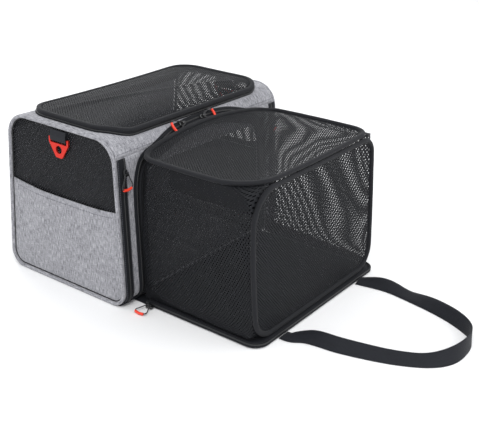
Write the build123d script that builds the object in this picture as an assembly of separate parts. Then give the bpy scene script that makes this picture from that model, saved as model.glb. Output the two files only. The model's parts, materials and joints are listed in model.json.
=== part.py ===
"""Soft-sided pet carrier with a net tent that folds out of its front.

+X runs along the carrier, -Y is the front, where the tent stands, and +Z is up.
The origin is the middle of the carrier's footprint, on the ground. Millimetres.
"""
from build123d import *
import math
import os

os.makedirs("parts", exist_ok=True)

# ---- Carrier ----
LENGTH = 432.0  # over the piping of both ends
HEIGHT = 280.0
TOP_WIDTH = 236.0
BASE_WIDTH = 270.0
TOP_RADIUS = 42.0
BASE_RADIUS = 28.0
WALL = 3.0  # padded fabric
BASE_SEAM_HEIGHT = 10.0
TOP_SEAM_HEIGHT = HEIGHT - 30.0
BOARD_THICKNESS = 3.0
MAT_THICKNESS = 16.0
MAT_EDGE_GAP = 5.0

# ---- End panels ----
PIPING_RADIUS = 4.5
END_WALL = 3.0
END_RIM = 12.0  # fabric kept round the net window
WINDOW_LOW = 146.0
NET_THICKNESS = 1.0
POCKET_TOP = 162.0
POCKET_GAP = 5.3
POCKET_FABRIC = 2.0
POCKET_EDGE = 3.0

# ---- Spring wire and bindings ----
WIRE_RADIUS = 1.2
WIRE_PLAY = 0.1
BINDING_RADIUS = 4.0

# ---- Strap rings ----
RING_DROP = 24.0  # ring bar below the carrier's top
RING_WIDTH = 43.0
RING_TIP = 30.0  # bar to the bottom edge
RING_TIP_WIDTH = 14.0
RING_THICKNESS = 3.2
RING_EAR = 3.4
RING_SLOT_DEPTH = 6.5
RING_HOLE_RADIUS = 6.5
RING_HOLE_DROP = 16.5
RING_OVER_BAR = 1.0  # metal above the bar
RING_CORNER = 4.0
WEBBING = 1.6
TAB_STITCHED = 5.0  # height where the two plies are sewn together
TAB_SIDE_PLAY = 1.0
RING_PLAY = 0.3

# ---- Zips ----
TAPE = 1.2
BODY_GAP = 0.4  # between pieces that move apart
SLIDER_LONG = 13.0
SLIDER_WIDE = 8.0
SLIDER_TALL = 3.6
SLIDER_CORNER = 2.5
SLIDER_BEVEL = 0.6
BRIDGE_LONG = 6.8
BRIDGE_WIDE = 3.0
BRIDGE_TALL = 4.6
BRIDGE_HOLE = 4.0
BRIDGE_HOLE_TALL = 3.0
BRIDGE_ROUND = 1.6
PULL_CORD_RADIUS = 0.9
SLEEVE_RADIUS = 2.1
SLEEVE_HALF = 8.4

# ---- Top flap ----
FLAP_HALF_LENGTH = LENGTH / 2 - 16.0
FLAP_FRONT = 12.0 - TOP_WIDTH / 2
FLAP_BACK = TOP_WIDTH / 2 - 20.0
FLAP_RADIUS = 52.0
FLAP_TAPE_WIDTH = 12.0
FLAP_EDGE = 3.0  # binding set back from the zip line
FLAP_BINDING_WIDTH = 9.0
FLAP_RISE = 8.5
FLAP_NET_RISE = 1.0  # over the flap's own tape
TOP_SLIDER_PLACES = {"left": -47.0, "right": 6.0}
TOP_PULL_TURN = 6.0  # degrees, down the slope
TOP_SLIDER_CLEAR = 2.5  # zip line to the slider's edge

# ---- Corner zips on the front ----
CORNER_ZIP_INNER = LENGTH / 2 - 27.0
CORNER_ZIP_WIDTH = 18.0
CORNER_SLIDER_HEIGHT = TOP_SEAM_HEIGHT - 24.0
CORNER_SLIDER_IN = 4.0  # towards the middle of the front

# ---- Passage into the tent, and the band round it ----
PASSAGE_HALF_WIDTH = LENGTH / 2 - 63.0
PASSAGE_LOW = 14.0
PASSAGE_TOP = HEIGHT - 58.0
PASSAGE_RADIUS = 40.0
BAND_WIDTH = 23.0
BAND_TOP_EXTRA = 3.0  # the band is wider over the passage
BAND_FOOT = 10.0
BAND_TOP_RADIUS = 62.0
BASE_BINDING_WIDTH = 9.0
BASE_BINDING_RISE = 3.0

# ---- Tent ----
TENT_DEPTH = 216.0  # from the foot of the carrier to the roof's end
TENT_HALF_WIDTH = LENGTH / 2 - 44.0
TENT_ROOF_HEIGHT = HEIGHT - 30.0
TENT_ROOF_END = -BASE_WIDTH / 2 - TENT_DEPTH
TENT_ROOF_RADIUS = 56.0
TENT_END_FOOT = TENT_ROOF_END - 8.0
TENT_END_HEAD = TENT_ROOF_END + 4.5
TENT_END_HEIGHT = TENT_ROOF_HEIGHT - 9.5
TENT_END_RADIUS = 48.0

# ---- Fold-up cover, which lies as the tent's floor ----
COVER_HINGE_Y = -BASE_WIDTH / 2 - 13.0
COVER_HALF_WIDTH = TENT_HALF_WIDTH + 6.0
COVER_END = TENT_END_FOOT - 13.0
COVER_RADIUS = 22.0
COVER_FABRIC = 1.2
COVER_BOARD = 2.8
COVER_RIM_WIDTH = 4.6
COVER_RIM_TALL = 12.4
BOARD_INSET = 2.0  # inside the rim
BOARD_HINGE_INSET = 6.0
HINGE_GAP = 0.8
EXPANSION_SLIDER_Y = COVER_HINGE_Y - 12.0
PULL_SLOPE = 9.0  # degrees, down to the ground

# ---- Handles ----
HANDLE_WIDTH = 25.0
HANDLE_THICKNESS = 1.8
PATCH_LENGTH = 38.0
PATCH_EDGE = 2.0  # inside the cover's end
FRONT_HANDLE_HALF = 114.0
FRONT_HANDLE_BENDS = ((-112, 67), (-72, 187), (10, 238), (84, 212), (122, 77))  # along, and beyond the cover
FRONT_HANDLE_RADIUS = 60.0
REAR_HANDLE_HALF = 110.0
REAR_HANDLE_TOP = HEIGHT - 43.0
REAR_HANDLE_LOW = 36.0
REAR_HANDLE_RADIUS = 80.0

LEFT, RIGHT = -1, 1
SIDES = {"left": LEFT, "right": RIGHT}
FAR = 400.0  # long enough to reach past every piece

# ---- Places that follow from the sizes ----
END_INNER = LENGTH / 2 - 2 * PIPING_RADIUS - END_WALL  # the shell's own end
END_OUTER = END_INNER + END_WALL
PIPING_X = LENGTH / 2 - PIPING_RADIUS
SIDE_TILT = math.degrees(math.atan2((BASE_WIDTH - TOP_WIDTH) / 2, HEIGHT))
COVER_BOTTOM = HANDLE_THICKNESS
COVER_TOP = COVER_BOTTOM + 2 * COVER_FABRIC + COVER_BOARD
COVER_HINGE_Z = COVER_TOP - COVER_FABRIC
RING_BAR_Z = HEIGHT - RING_DROP
BAND_OUTER = PASSAGE_HALF_WIDTH + BAND_WIDTH
BAND_TOP = PASSAGE_TOP + BAND_WIDTH + BAND_TOP_EXTRA
END_FOOT_Z = COVER_TOP + BODY_GAP + BINDING_RADIUS


def side_y(height):
    """Half-width of the carrier's outer face at a height, on its straight part."""
    return BASE_WIDTH / 2 - (BASE_WIDTH - TOP_WIDTH) / 2 * height / HEIGHT


def top_corner_centre():
    """Half-width and height of the centre that the upper long edges are rounded about."""
    height = HEIGHT - TOP_RADIUS
    return side_y(height) - TOP_RADIUS / math.cos(math.radians(SIDE_TILT)), height


def section(growth=0.0):
    """The carrier's rounded cross-section, grown outwards, drawn across its length."""
    half_base = BASE_WIDTH / 2
    half_top = TOP_WIDTH / 2
    outline = Polyline(
        (-half_base, 0), (half_base, 0), (half_top, HEIGHT), (-half_top, HEIGHT), close=True
    )
    face = make_face(outline)
    face = fillet(face.vertices().sort_by(Axis.Y)[:2], BASE_RADIUS)
    face = fillet(face.vertices().sort_by(Axis.Y)[-2:], TOP_RADIUS)
    return offset(face, amount=growth) if growth else face


def slice_of(face, low_x, high_x):
    """A cross-section drawn out along the carrier from low_x to high_x."""
    return Pos(low_x, 0, 0) * extrude(Plane.YZ * face, amount=high_x - low_x)


def skin(outer, inner, half_length=END_INNER):
    """The layer between two growths of the cross-section, open at both ends."""
    return slice_of(section(outer) - section(inner), -half_length, half_length)


def from_front(face):
    """A face drawn in X and Z, pushed through the front half only."""
    front = Plane(origin=(0, -10, 0), x_dir=(1, 0, 0), z_dir=(0, -1, 0))
    return extrude(front * face, amount=FAR)


def from_back(face):
    """A face drawn in X and Z, pushed through the back half only."""
    back = Plane(origin=(0, FAR, 0), x_dir=(1, 0, 0), z_dir=(0, -1, 0))
    return extrude(back * face, amount=FAR - 10)


def from_above(face):
    """A plan outline pushed down through the upper half."""
    return Pos(0, 0, HEIGHT / 2) * extrude(face, amount=FAR)


def box(low, high):
    """A block between two corners."""
    size = [b - a for a, b in zip(low, high)]
    centre = [(a + b) / 2 for a, b in zip(low, high)]
    return Pos(*centre) * Box(*size)


def rounded_top(half_width, low, high, radius):
    """An upright rectangle in X and Z with its two upper corners rounded."""
    face = Pos(0, (low + high) / 2) * Rectangle(2 * half_width, high - low)
    return fillet(face.vertices().sort_by(Axis.Y)[-2:], radius)


def tube(path, radius, hole=0.0):
    """A round tube, or a rod, along a wire."""
    start = Plane(origin=path @ 0, z_dir=path % 0)
    ring = Circle(radius) - Circle(hole) if hole else Circle(radius)
    return sweep(start * ring, path=path)


def wired_binding(path, radius):
    """A fabric binding and the spring wire that it is sewn over."""
    return tube(path, radius, WIRE_RADIUS + WIRE_PLAY), tube(path, WIRE_RADIUS)


# ---- Carrier shell ----
def shell_panels():
    """The four fabric panels, cut from one skin along their seams."""
    whole = skin(0, -WALL)
    level = box((-FAR, -FAR, BASE_SEAM_HEIGHT), (FAR, FAR, TOP_SEAM_HEIGHT))
    strip_end = COVER_HINGE_Y + HINGE_GAP / 2
    hinge_strip = box(
        (-BAND_OUTER, strip_end, 0), (BAND_OUTER, BASE_RADIUS - side_y(0), HANDLE_THICKNESS)
    )
    passage = rounded_top(PASSAGE_HALF_WIDTH, PASSAGE_LOW, PASSAGE_TOP, PASSAGE_RADIUS)
    return {
        "base_panel": (whole & box((-FAR, -FAR, -1), (FAR, FAR, BASE_SEAM_HEIGHT))) + hinge_strip,
        "front_panel": (whole & level & box((-FAR, -FAR, 0), (FAR, 0, HEIGHT))) - from_front(passage),
        "back_panel": whole & level & box((-FAR, 0, 0), (FAR, FAR, HEIGHT)),
        "top_panel": (whole & box((-FAR, -FAR, TOP_SEAM_HEIGHT), (FAR, FAR, FAR)))
        - from_above(flap_outline(-FLAP_TAPE_WIDTH)),
    }


def floor_pieces():
    """The stiffening board in the base and the mat on it."""
    half_length = END_INNER - MAT_EDGE_GAP
    board_low = WALL
    mat_low = board_low + BOARD_THICKNESS
    half_flat = side_y(0) - BASE_RADIUS - WALL
    mat_inset = -WALL - BODY_GAP
    mat_band = box((-FAR, -FAR, mat_low), (FAR, FAR, mat_low + MAT_THICKNESS))
    return {
        "base_board": box(
            (-half_length, -half_flat, board_low), (half_length, half_flat, mat_low)
        ),
        "plush_mat": slice_of(section(mat_inset), -half_length, half_length) & mat_band,
    }


# ---- End panels ----
def end_panel(side):
    """One end: fabric with a net window, its pocket, its piping and the ring's tab."""
    name = {LEFT: "left", RIGHT: "right"}[side]

    def plate(face, near, far):
        low, high = sorted((side * near, side * far))
        return slice_of(face, low, high)

    upper = Pos(0, WINDOW_LOW + FAR / 2) * Rectangle(FAR, FAR)
    window = section(-END_RIM) & upper
    net_near = END_INNER + (END_WALL - NET_THICKNESS) / 2
    lower = Pos(0, POCKET_TOP - FAR / 2) * Rectangle(FAR, FAR)
    pocket_face = section(-2 * PIPING_RADIUS - BODY_GAP) & lower
    pocket_inner = section(-2 * PIPING_RADIUS - BODY_GAP - POCKET_EDGE)
    pocket_near = END_OUTER + POCKET_GAP
    seam = Pos(side * PIPING_X, 0, 0) * (Plane.YZ * section(-PIPING_RADIUS)).wire()
    piping, wire = wired_binding(seam, PIPING_RADIUS)
    return {
        f"end_panel_{name}": plate(section(), END_INNER, END_OUTER)
        - plate(window, END_INNER, END_OUTER),
        f"end_net_{name}": plate(window, net_near, net_near + NET_THICKNESS),
        f"end_pocket_{name}": plate(pocket_face, pocket_near, pocket_near + POCKET_FABRIC)
        + plate(pocket_face - pocket_inner, END_OUTER, pocket_near),
        f"end_piping_{name}": piping,
        f"wire {name}": wire,
    }


def ring_bar_x():
    """How far out the strap ring's bar lies, in the fold of its webbing tab."""
    return END_OUTER + WEBBING + RING_THICKNESS / 2 + RING_PLAY


def ring_tab(side):
    """Webbing folded round the ring's bar and sewn to the end panel's upper rim."""
    hollow = RING_THICKNESS / 2 + RING_PLAY
    solid = hollow + WEBBING
    top = HEIGHT - 2 * PIPING_RADIUS - BODY_GAP
    bar = Pos(0, 0, RING_BAR_Z)
    half_width = RING_WIDTH / 2 - RING_EAR - TAB_SIDE_PLAY

    def fold(radius, height):
        roll = bar * Rot(90, 0, 0) * Cylinder(radius, 2 * half_width)
        return roll + box((-radius, -half_width, RING_BAR_Z), (radius, half_width, height))

    return Pos(side * ring_bar_x(), 0, 0) * (fold(solid, top) - fold(hollow, top - TAB_STITCHED))


def strap_ring(side):
    """A flat triangular ring: a round bar for the webbing, and a hole for a strap hook."""
    half = RING_WIDTH / 2
    top = RING_THICKNESS / 2 + RING_OVER_BAR
    half_tip = RING_TIP_WIDTH / 2
    outline = Polyline(
        (-half, top), (half, top), (half, -RING_SLOT_DEPTH),
        (half_tip, -RING_TIP), (-half_tip, -RING_TIP), (-half, -RING_SLOT_DEPTH), close=True,
    )
    face = fillet(make_face(outline).vertices().sort_by(Axis.Y)[:4], RING_CORNER)
    slot_half = half - RING_EAR
    slot = Pos(0, FAR / 2 - RING_SLOT_DEPTH) * Rectangle(2 * slot_half, FAR)
    hole = Pos(0, -RING_HOLE_DROP) * Circle(RING_HOLE_RADIUS)
    plate = slice_of(face - slot - hole, -RING_THICKNESS / 2, RING_THICKNESS / 2)
    bar = Rot(90, 0, 0) * Cylinder(RING_THICKNESS / 2, 2 * slot_half + RING_EAR)
    return Pos(side * ring_bar_x(), 0, RING_BAR_Z) * (plate + bar)


# ---- Top flap ----
def flap_outline(growth=0.0):
    """The flap's plan outline, on its zip line, grown outwards."""
    middle = (FLAP_FRONT + FLAP_BACK) / 2
    length = 2 * (FLAP_HALF_LENGTH + growth)
    width = FLAP_BACK - FLAP_FRONT + 2 * growth
    return Pos(0, middle) * RectangleRounded(length, width, FLAP_RADIUS + growth)


def ring_on_top(outer, inner, low, high):
    """A band of the flap's outline, between two heights over the carrier's skin."""
    outline = flap_outline(outer) - flap_outline(inner)
    return skin(high, low) & from_above(outline)


def top_closure():
    """The zip tape on the carrier, and the flap's own tape, binding and net."""
    flap_low = TAPE + BODY_GAP
    flap_tape_top = flap_low + TAPE
    binding_inner = -FLAP_EDGE - FLAP_BINDING_WIDTH
    net_low = flap_tape_top + FLAP_NET_RISE
    return {
        "top_zip_tape": ring_on_top(1.0, -FLAP_TAPE_WIDTH, 0, TAPE),
        "flap_zip_tape": ring_on_top(-2.0, binding_inner, flap_low, flap_tape_top),
        "flap_binding": ring_on_top(-FLAP_EDGE, binding_inner, flap_tape_top, FLAP_RISE),
        "flap_net": skin(net_low + NET_THICKNESS, net_low) & from_above(flap_outline(binding_inner)),
    }


# ---- Front face ----
def front_bands():
    """Tapes and binding that lie on the front panel."""
    outer = rounded_top(BAND_OUTER, BAND_FOOT, BAND_TOP, BAND_TOP_RADIUS)
    inner = rounded_top(PASSAGE_HALF_WIDTH, 0, PASSAGE_TOP, PASSAGE_RADIUS)
    binding_outer = rounded_top(
        PASSAGE_HALF_WIDTH + BASE_BINDING_WIDTH,
        BAND_FOOT,
        PASSAGE_TOP + BASE_BINDING_WIDTH,
        PASSAGE_RADIUS + BASE_BINDING_WIDTH,
    )
    strip_height = TOP_SEAM_HEIGHT - BASE_SEAM_HEIGHT
    strip = Rectangle(CORNER_ZIP_WIDTH, strip_height)
    strip_middle = (TOP_SEAM_HEIGHT + BASE_SEAM_HEIGHT) / 2
    strip_x = CORNER_ZIP_INNER + CORNER_ZIP_WIDTH / 2
    strips = [Pos(side * strip_x, strip_middle) * strip for side in SIDES.values()]
    tape = skin(TAPE, 0, END_OUTER)
    return {
        "expansion_zip_tape": tape & from_front(outer - inner),
        "passage_binding": skin(BASE_BINDING_RISE, TAPE) & from_front(binding_outer - inner),
        "corner_zip_tapes": Compound(
            [piece for face in strips for piece in (tape & from_front(face)).solids()]
        ),
    }


# ---- Tent ----
def tent_pieces():
    """Roof and end, each net in a wired binding, and the two side nets."""
    centre_half = TENT_HALF_WIDTH - BINDING_RADIUS
    roof_back = -side_y(TENT_ROOF_HEIGHT) - BASE_BINDING_RISE - BODY_GAP - BINDING_RADIUS
    roof_front = TENT_ROOF_END + BINDING_RADIUS
    roof_face = Pos(0, (roof_back + roof_front) / 2) * RectangleRounded(
        2 * centre_half, roof_back - roof_front, TENT_ROOF_RADIUS
    )
    roof_place = Pos(0, 0, TENT_ROOF_HEIGHT)
    roof_binding, roof_wire = wired_binding((roof_place * roof_face).wire(), BINDING_RADIUS)
    roof_net = offset(roof_face, amount=-BINDING_RADIUS)

    end_plane = tent_end_plane()
    end_face = Pos(0, tent_end_length() / 2) * RectangleRounded(
        2 * centre_half, tent_end_length(), TENT_END_RADIUS
    )
    end_binding, end_wire = wired_binding((end_plane * end_face).wire(), BINDING_RADIUS)
    end_net = offset(end_face, amount=-BINDING_RADIUS)

    low = COVER_TOP + BODY_GAP
    high = TENT_ROOF_HEIGHT - BINDING_RADIUS - BODY_GAP
    lift = BASE_BINDING_RISE + BODY_GAP
    clear = BINDING_RADIUS + BODY_GAP
    lean = (TENT_END_HEAD - TENT_END_FOOT) / (TENT_END_HEIGHT - END_FOOT_Z)
    side_outline = make_face(Polyline(
        (-side_y(low) - lift, low),
        (-side_y(high) - lift, high),
        (TENT_END_FOOT + lean * (high - END_FOOT_Z) + clear, high),
        (TENT_END_FOOT + lean * (low - END_FOOT_Z) + clear, low),
        close=True,
    ))
    sides = {
        f"tent_side_{name}": slice_of(
            side_outline, side * centre_half - NET_THICKNESS / 2, side * centre_half + NET_THICKNESS / 2
        )
        for name, side in SIDES.items()
    }
    return {
        "tent_roof_binding": roof_binding,
        "tent_roof_wire": roof_wire,
        "tent_roof_net": roof_place * Pos(0, 0, -NET_THICKNESS / 2) * extrude(roof_net, NET_THICKNESS),
        "tent_end_binding": end_binding,
        "tent_end_wire": end_wire,
        "tent_end_net": extrude(
            end_plane.offset(-NET_THICKNESS / 2) * end_net, NET_THICKNESS
        ),
        **sides,
    }


def tent_end_length():
    """Foot to head of the tent's end, between the centres of its binding."""
    return math.hypot(TENT_END_HEIGHT - END_FOOT_Z, TENT_END_HEAD - TENT_END_FOOT)


def tent_end_plane():
    """The plane of the tent's end, standing on its foot, facing away from the carrier."""
    up = (0, TENT_END_HEAD - TENT_END_FOOT, TENT_END_HEIGHT - END_FOOT_Z)
    out = Vector(1, 0, 0).cross(Vector(*up))
    return Plane(origin=(0, TENT_END_FOOT, END_FOOT_Z), x_dir=(1, 0, 0), z_dir=out)


def cover_pieces():
    """The cover: fabric outside, a board, a lining, and a rim on its three free edges."""
    start = COVER_HINGE_Y - HINGE_GAP / 2

    def plan(inset, back):
        depth = back - (COVER_END + inset)
        face = Pos(0, back - depth / 2) * Rectangle(2 * (COVER_HALF_WIDTH - inset), depth)
        return fillet(face.vertices().sort_by(Axis.Y)[:2], COVER_RADIUS - inset)

    def layer(face, low, high):
        return Pos(0, 0, low) * extrude(face, amount=high - low)

    fabric_top = COVER_BOTTOM + COVER_FABRIC
    board_top = fabric_top + COVER_BOARD
    inside = plan(COVER_RIM_WIDTH, start)
    board = plan(COVER_RIM_WIDTH + BOARD_INSET, start - BOARD_HINGE_INSET)
    return {
        "cover_fabric": layer(plan(0, start), COVER_BOTTOM, fabric_top),
        "cover_board": layer(board, fabric_top, board_top),
        "cover_lining": layer(inside, board_top, COVER_TOP),
        "cover_rim": layer(plan(0, start) - inside, fabric_top, fabric_top + COVER_RIM_TALL),
    }


# ---- Handles ----
def handle_patches():
    """The sewn ends of both handles, under the cover and on the back panel."""
    edge = COVER_END + PATCH_EDGE
    half = HANDLE_WIDTH / 2
    front = [
        box((x - half, edge, 0), (x + half, edge + PATCH_LENGTH, HANDLE_THICKNESS))
        for x in (-FRONT_HANDLE_HALF, FRONT_HANDLE_HALF)
    ]
    layer = skin(HANDLE_THICKNESS, 0)
    low = REAR_HANDLE_TOP - PATCH_LENGTH
    face = Rectangle(HANDLE_WIDTH, PATCH_LENGTH)
    rear = [
        (layer & from_back(Pos(x, low + PATCH_LENGTH / 2) * face)).solid()
        for x in (-REAR_HANDLE_HALF, REAR_HANDLE_HALF)
    ]
    return {"front_handle_patches": Compound(front), "rear_handle_patches": Compound(rear)}


def front_handle():
    """The webbing loop that lies on the ground beyond the cover."""
    start = COVER_END - HINGE_GAP
    half = FRONT_HANDLE_HALF
    bends = [(x, start - beyond) for x, beyond in FRONT_HANDLE_BENDS]
    centre = FilletPolyline((-half, start), *bends, (half, start), radius=FRONT_HANDLE_RADIUS)
    loop = extrude(trace(centre, line_width=HANDLE_WIDTH), amount=HANDLE_THICKNESS)
    return loop & box((-FAR, start - FAR, 0), (FAR, start, HANDLE_THICKNESS))


def rear_handle():
    """The webbing loop that hangs from the back panel's upper edge over its patches."""
    top = REAR_HANDLE_TOP
    outer_half = REAR_HANDLE_HALF + HANDLE_WIDTH / 2
    inner_half = outer_half - HANDLE_WIDTH

    def bowl(half, low, radius):
        face = Pos(0, (low + top) / 2) * Rectangle(2 * half, top - low)
        return fillet(face.vertices().sort_by(Axis.Y)[:2], radius)

    loop = bowl(outer_half, REAR_HANDLE_LOW, REAR_HANDLE_RADIUS)
    gap = bowl(inner_half, REAR_HANDLE_LOW + HANDLE_WIDTH, REAR_HANDLE_RADIUS - HANDLE_WIDTH)
    low_growth = HANDLE_THICKNESS + BODY_GAP
    return skin(low_growth + HANDLE_THICKNESS, low_growth) & from_back(loop - gap)


# ---- Sliders and pulls ----
def top_slider_frame(x):
    """On the rounded upper front edge, just outside the zip line, facing out; y runs up the slope."""
    half, height = top_corner_centre()
    sine = (-FLAP_FRONT - half) / TOP_RADIUS
    angle = math.asin(sine) + (SLIDER_WIDE / 2 + TOP_SLIDER_CLEAR) / TOP_RADIUS
    out = (0, -math.sin(angle), math.cos(angle))
    origin = (x, -half - TOP_RADIUS * math.sin(angle), height + TOP_RADIUS * math.cos(angle))
    return Plane(origin=origin, x_dir=(1, 0, 0), z_dir=out)


def front_face_frame(x, height):
    """On the front face, facing out; y runs up the face."""
    tilt = math.radians(SIDE_TILT)
    return Plane(
        origin=(x, -side_y(height), height), x_dir=(1, 0, 0), z_dir=(0, -math.cos(tilt), math.sin(tilt))
    )


def slider(place, low, bridge_turn=0.0):
    """A slider, long along its local y. Its bridge's hole runs along x, or is turned."""
    body = Pos(0, 0, low + SLIDER_TALL / 2) * Box(SLIDER_WIDE, SLIDER_LONG, SLIDER_TALL)
    body = fillet(body.edges().filter_by(Axis.Z), SLIDER_CORNER)
    body = chamfer(body.faces().sort_by(Axis.Z)[-1].edges(), SLIDER_BEVEL)
    top = low + SLIDER_TALL
    bridge = Pos(0, 0, top + BRIDGE_TALL / 2) * Box(BRIDGE_WIDE, BRIDGE_LONG, BRIDGE_TALL)
    upper = bridge.faces().sort_by(Axis.Z)[-1].edges().filter_by(Axis.X)
    bridge = fillet(upper, BRIDGE_ROUND)
    hole = Pos(0, 0, top + BRIDGE_HOLE_TALL / 2) * Box(FAR, BRIDGE_HOLE, BRIDGE_HOLE_TALL)
    return place * (body + Rot(0, 0, bridge_turn) * (bridge - hole))


def pull_route():
    """The pull's cord in its own plane: along the pull, and across it, from the bridge's hole and back."""
    half = [(0, 0.7), (0.4, 3.6), (5, 4.6), (13, 7.8), (19.5, 11.6), (24, 9.4)]
    near = [(along, -across) for along, across in half]
    return near + [(26, 0)] + half[::-1]


def route_radii(points):
    """As large a radius at each corner as its two runs allow."""
    radii = []
    for before, corner, after in zip(points, points[1:], points[2:]):
        come = Vector(*corner) - Vector(*before)
        go = Vector(*after) - Vector(*corner)
        turn = math.radians(come.get_angle(go))
        radii.append(0.45 * min(come.length, go.length) / math.tan(turn / 2))
    return radii


def pull(place):
    """A cord loop and the rubber sleeve on it. The place's x runs along the pull, from the hole."""
    points = pull_route()
    radii = route_radii(points)
    path = FilletPolyline(*points, radius=radii)
    sleeve_path = ThreePointArc((24.2, -SLEEVE_HALF), (25.7, 0), (24.2, SLEEVE_HALF))
    return place * tube(path, PULL_CORD_RADIUS), place * tube(
        sleeve_path, SLEEVE_RADIUS, PULL_CORD_RADIUS
    )


def slider_frames():
    """For each slider: where its body sits, where its pull starts, its bridge's turn."""
    eye = TAPE + BODY_GAP + SLIDER_TALL + BRIDGE_HOLE_TALL / 2
    turn = math.radians(TOP_PULL_TURN)
    slope = math.radians(PULL_SLOPE)
    low = COVER_BOTTOM - TAPE
    frames = {}
    for name, side in SIDES.items():
        face = top_slider_frame(TOP_SLIDER_PLACES[name])
        body = Plane(origin=face.origin, x_dir=face.y_dir, z_dir=face.z_dir)
        along = face.x_dir * side * math.cos(turn) - face.y_dir * math.sin(turn)
        start = face.origin + face.z_dir * eye
        frames[f"top_{name}"] = body, Plane(origin=start, x_dir=along, z_dir=face.z_dir), 0

        strip_middle = CORNER_ZIP_INNER + CORNER_ZIP_WIDTH / 2
        face = front_face_frame(side * (strip_middle - CORNER_SLIDER_IN), CORNER_SLIDER_HEIGHT)
        start = face.origin + face.z_dir * eye
        frames[f"corner_{name}"] = face, Plane(origin=start, x_dir=-face.y_dir, z_dir=face.z_dir), 0

        x = side * (COVER_HALF_WIDTH + BODY_GAP + SLIDER_WIDE / 2)
        body = Plane(origin=(x, EXPANSION_SLIDER_Y, low), x_dir=(1, 0, 0), z_dir=(0, 0, 1))
        outward = (side * math.cos(slope), 0, -math.sin(slope))
        normal = (side * math.sin(slope), 0, math.cos(slope))
        start = body.origin + body.z_dir * eye
        frames[f"expansion_{name}"] = body, Plane(origin=start, x_dir=outward, z_dir=normal), 90
    return frames


def zip_pieces():
    """Every slider with its pull: node names end in the slider's own name."""
    pieces = {}
    for name, (body, start, bridge_turn) in slider_frames().items():
        pieces[f"slider_{name}"] = slider(body.location, TAPE + BODY_GAP, bridge_turn)
        cord, sleeve = pull(start.location)
        pieces[f"pull_cord_{name}"] = cord
        pieces[f"pull_sleeve_{name}"] = sleeve
    return pieces


def all_pieces():
    """Every node's solid by name."""
    pieces = {}
    pieces.update(shell_panels())
    pieces.update(floor_pieces())
    wires = []
    for name, side in SIDES.items():
        pieces.update(end_panel(side))
        wires.append(pieces.pop(f"wire {name}"))
        pieces[f"ring_tab_{name}"] = ring_tab(side)
        pieces[f"strap_ring_{name}"] = strap_ring(side)
    pieces["end_wires"] = Compound(wires)
    pieces.update(top_closure())
    pieces.update(front_bands())
    pieces.update(tent_pieces())
    pieces.update(cover_pieces())
    pieces.update(handle_patches())
    pieces["front_handle"] = front_handle()
    pieces["rear_handle"] = rear_handle()
    pieces.update(zip_pieces())
    return pieces


for node, piece in all_pieces().items():
    export_step(piece, f"parts/{node}.step")
print("pull cord radii", [round(radius, 1) for radius in route_radii(pull_route())])
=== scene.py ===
"""Looks of the soft-sided pet carrier: fabrics, nets, bindings, zips and webbing round its CAD frame.

Lengths in the geometry code are millimetres in the row frame (+X along the carrier, -Y to the tent, +Z up);
they become metres where a mesh is made.
"""

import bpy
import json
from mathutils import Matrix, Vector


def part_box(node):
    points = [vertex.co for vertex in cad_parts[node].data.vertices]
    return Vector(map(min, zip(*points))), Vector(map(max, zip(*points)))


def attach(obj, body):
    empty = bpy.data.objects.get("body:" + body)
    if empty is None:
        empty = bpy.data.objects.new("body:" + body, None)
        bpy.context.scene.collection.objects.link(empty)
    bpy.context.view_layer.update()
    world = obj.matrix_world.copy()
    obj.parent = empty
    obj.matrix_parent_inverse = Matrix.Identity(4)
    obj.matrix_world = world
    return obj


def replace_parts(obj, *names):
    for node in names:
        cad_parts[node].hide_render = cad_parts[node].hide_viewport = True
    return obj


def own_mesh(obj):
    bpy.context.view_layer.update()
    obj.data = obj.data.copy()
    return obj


bl_info = {
    "name": "Expandable pet carrier",
    "version": (1, 0, 0),
    "blender": (4, 5, 0),
    "location": "3D View > Sidebar > Carrier",
    "description": "Dresses a soft-sided pet carrier's frame in fabric, net, zips and webbing",
    "category": "Object",
}

import json
import math

import bpy
import numpy as np
from bpy.props import FloatProperty, FloatVectorProperty, PointerProperty
from mathutils import Matrix, Vector

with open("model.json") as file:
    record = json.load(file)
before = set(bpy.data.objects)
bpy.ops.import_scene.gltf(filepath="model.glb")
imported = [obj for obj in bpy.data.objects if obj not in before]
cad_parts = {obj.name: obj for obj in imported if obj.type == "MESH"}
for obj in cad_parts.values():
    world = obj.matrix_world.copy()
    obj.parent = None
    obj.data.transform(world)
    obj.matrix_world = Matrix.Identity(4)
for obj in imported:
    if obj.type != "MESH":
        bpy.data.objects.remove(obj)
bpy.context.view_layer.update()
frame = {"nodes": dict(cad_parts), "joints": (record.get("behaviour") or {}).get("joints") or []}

MM = 0.001
SIDES = {"left": -1, "right": 1}
PULLS = ("top_left", "top_right", "corner_left", "corner_right", "expansion_left", "expansion_right")


# ---- Places read from the frame ----
def low(node):
    """A CAD node's lowest corner, in millimetres."""
    return np.array(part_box(node)[0]) / MM


def high(node):
    """A CAD node's highest corner, in millimetres."""
    return np.array(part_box(node)[1]) / MM


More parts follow.
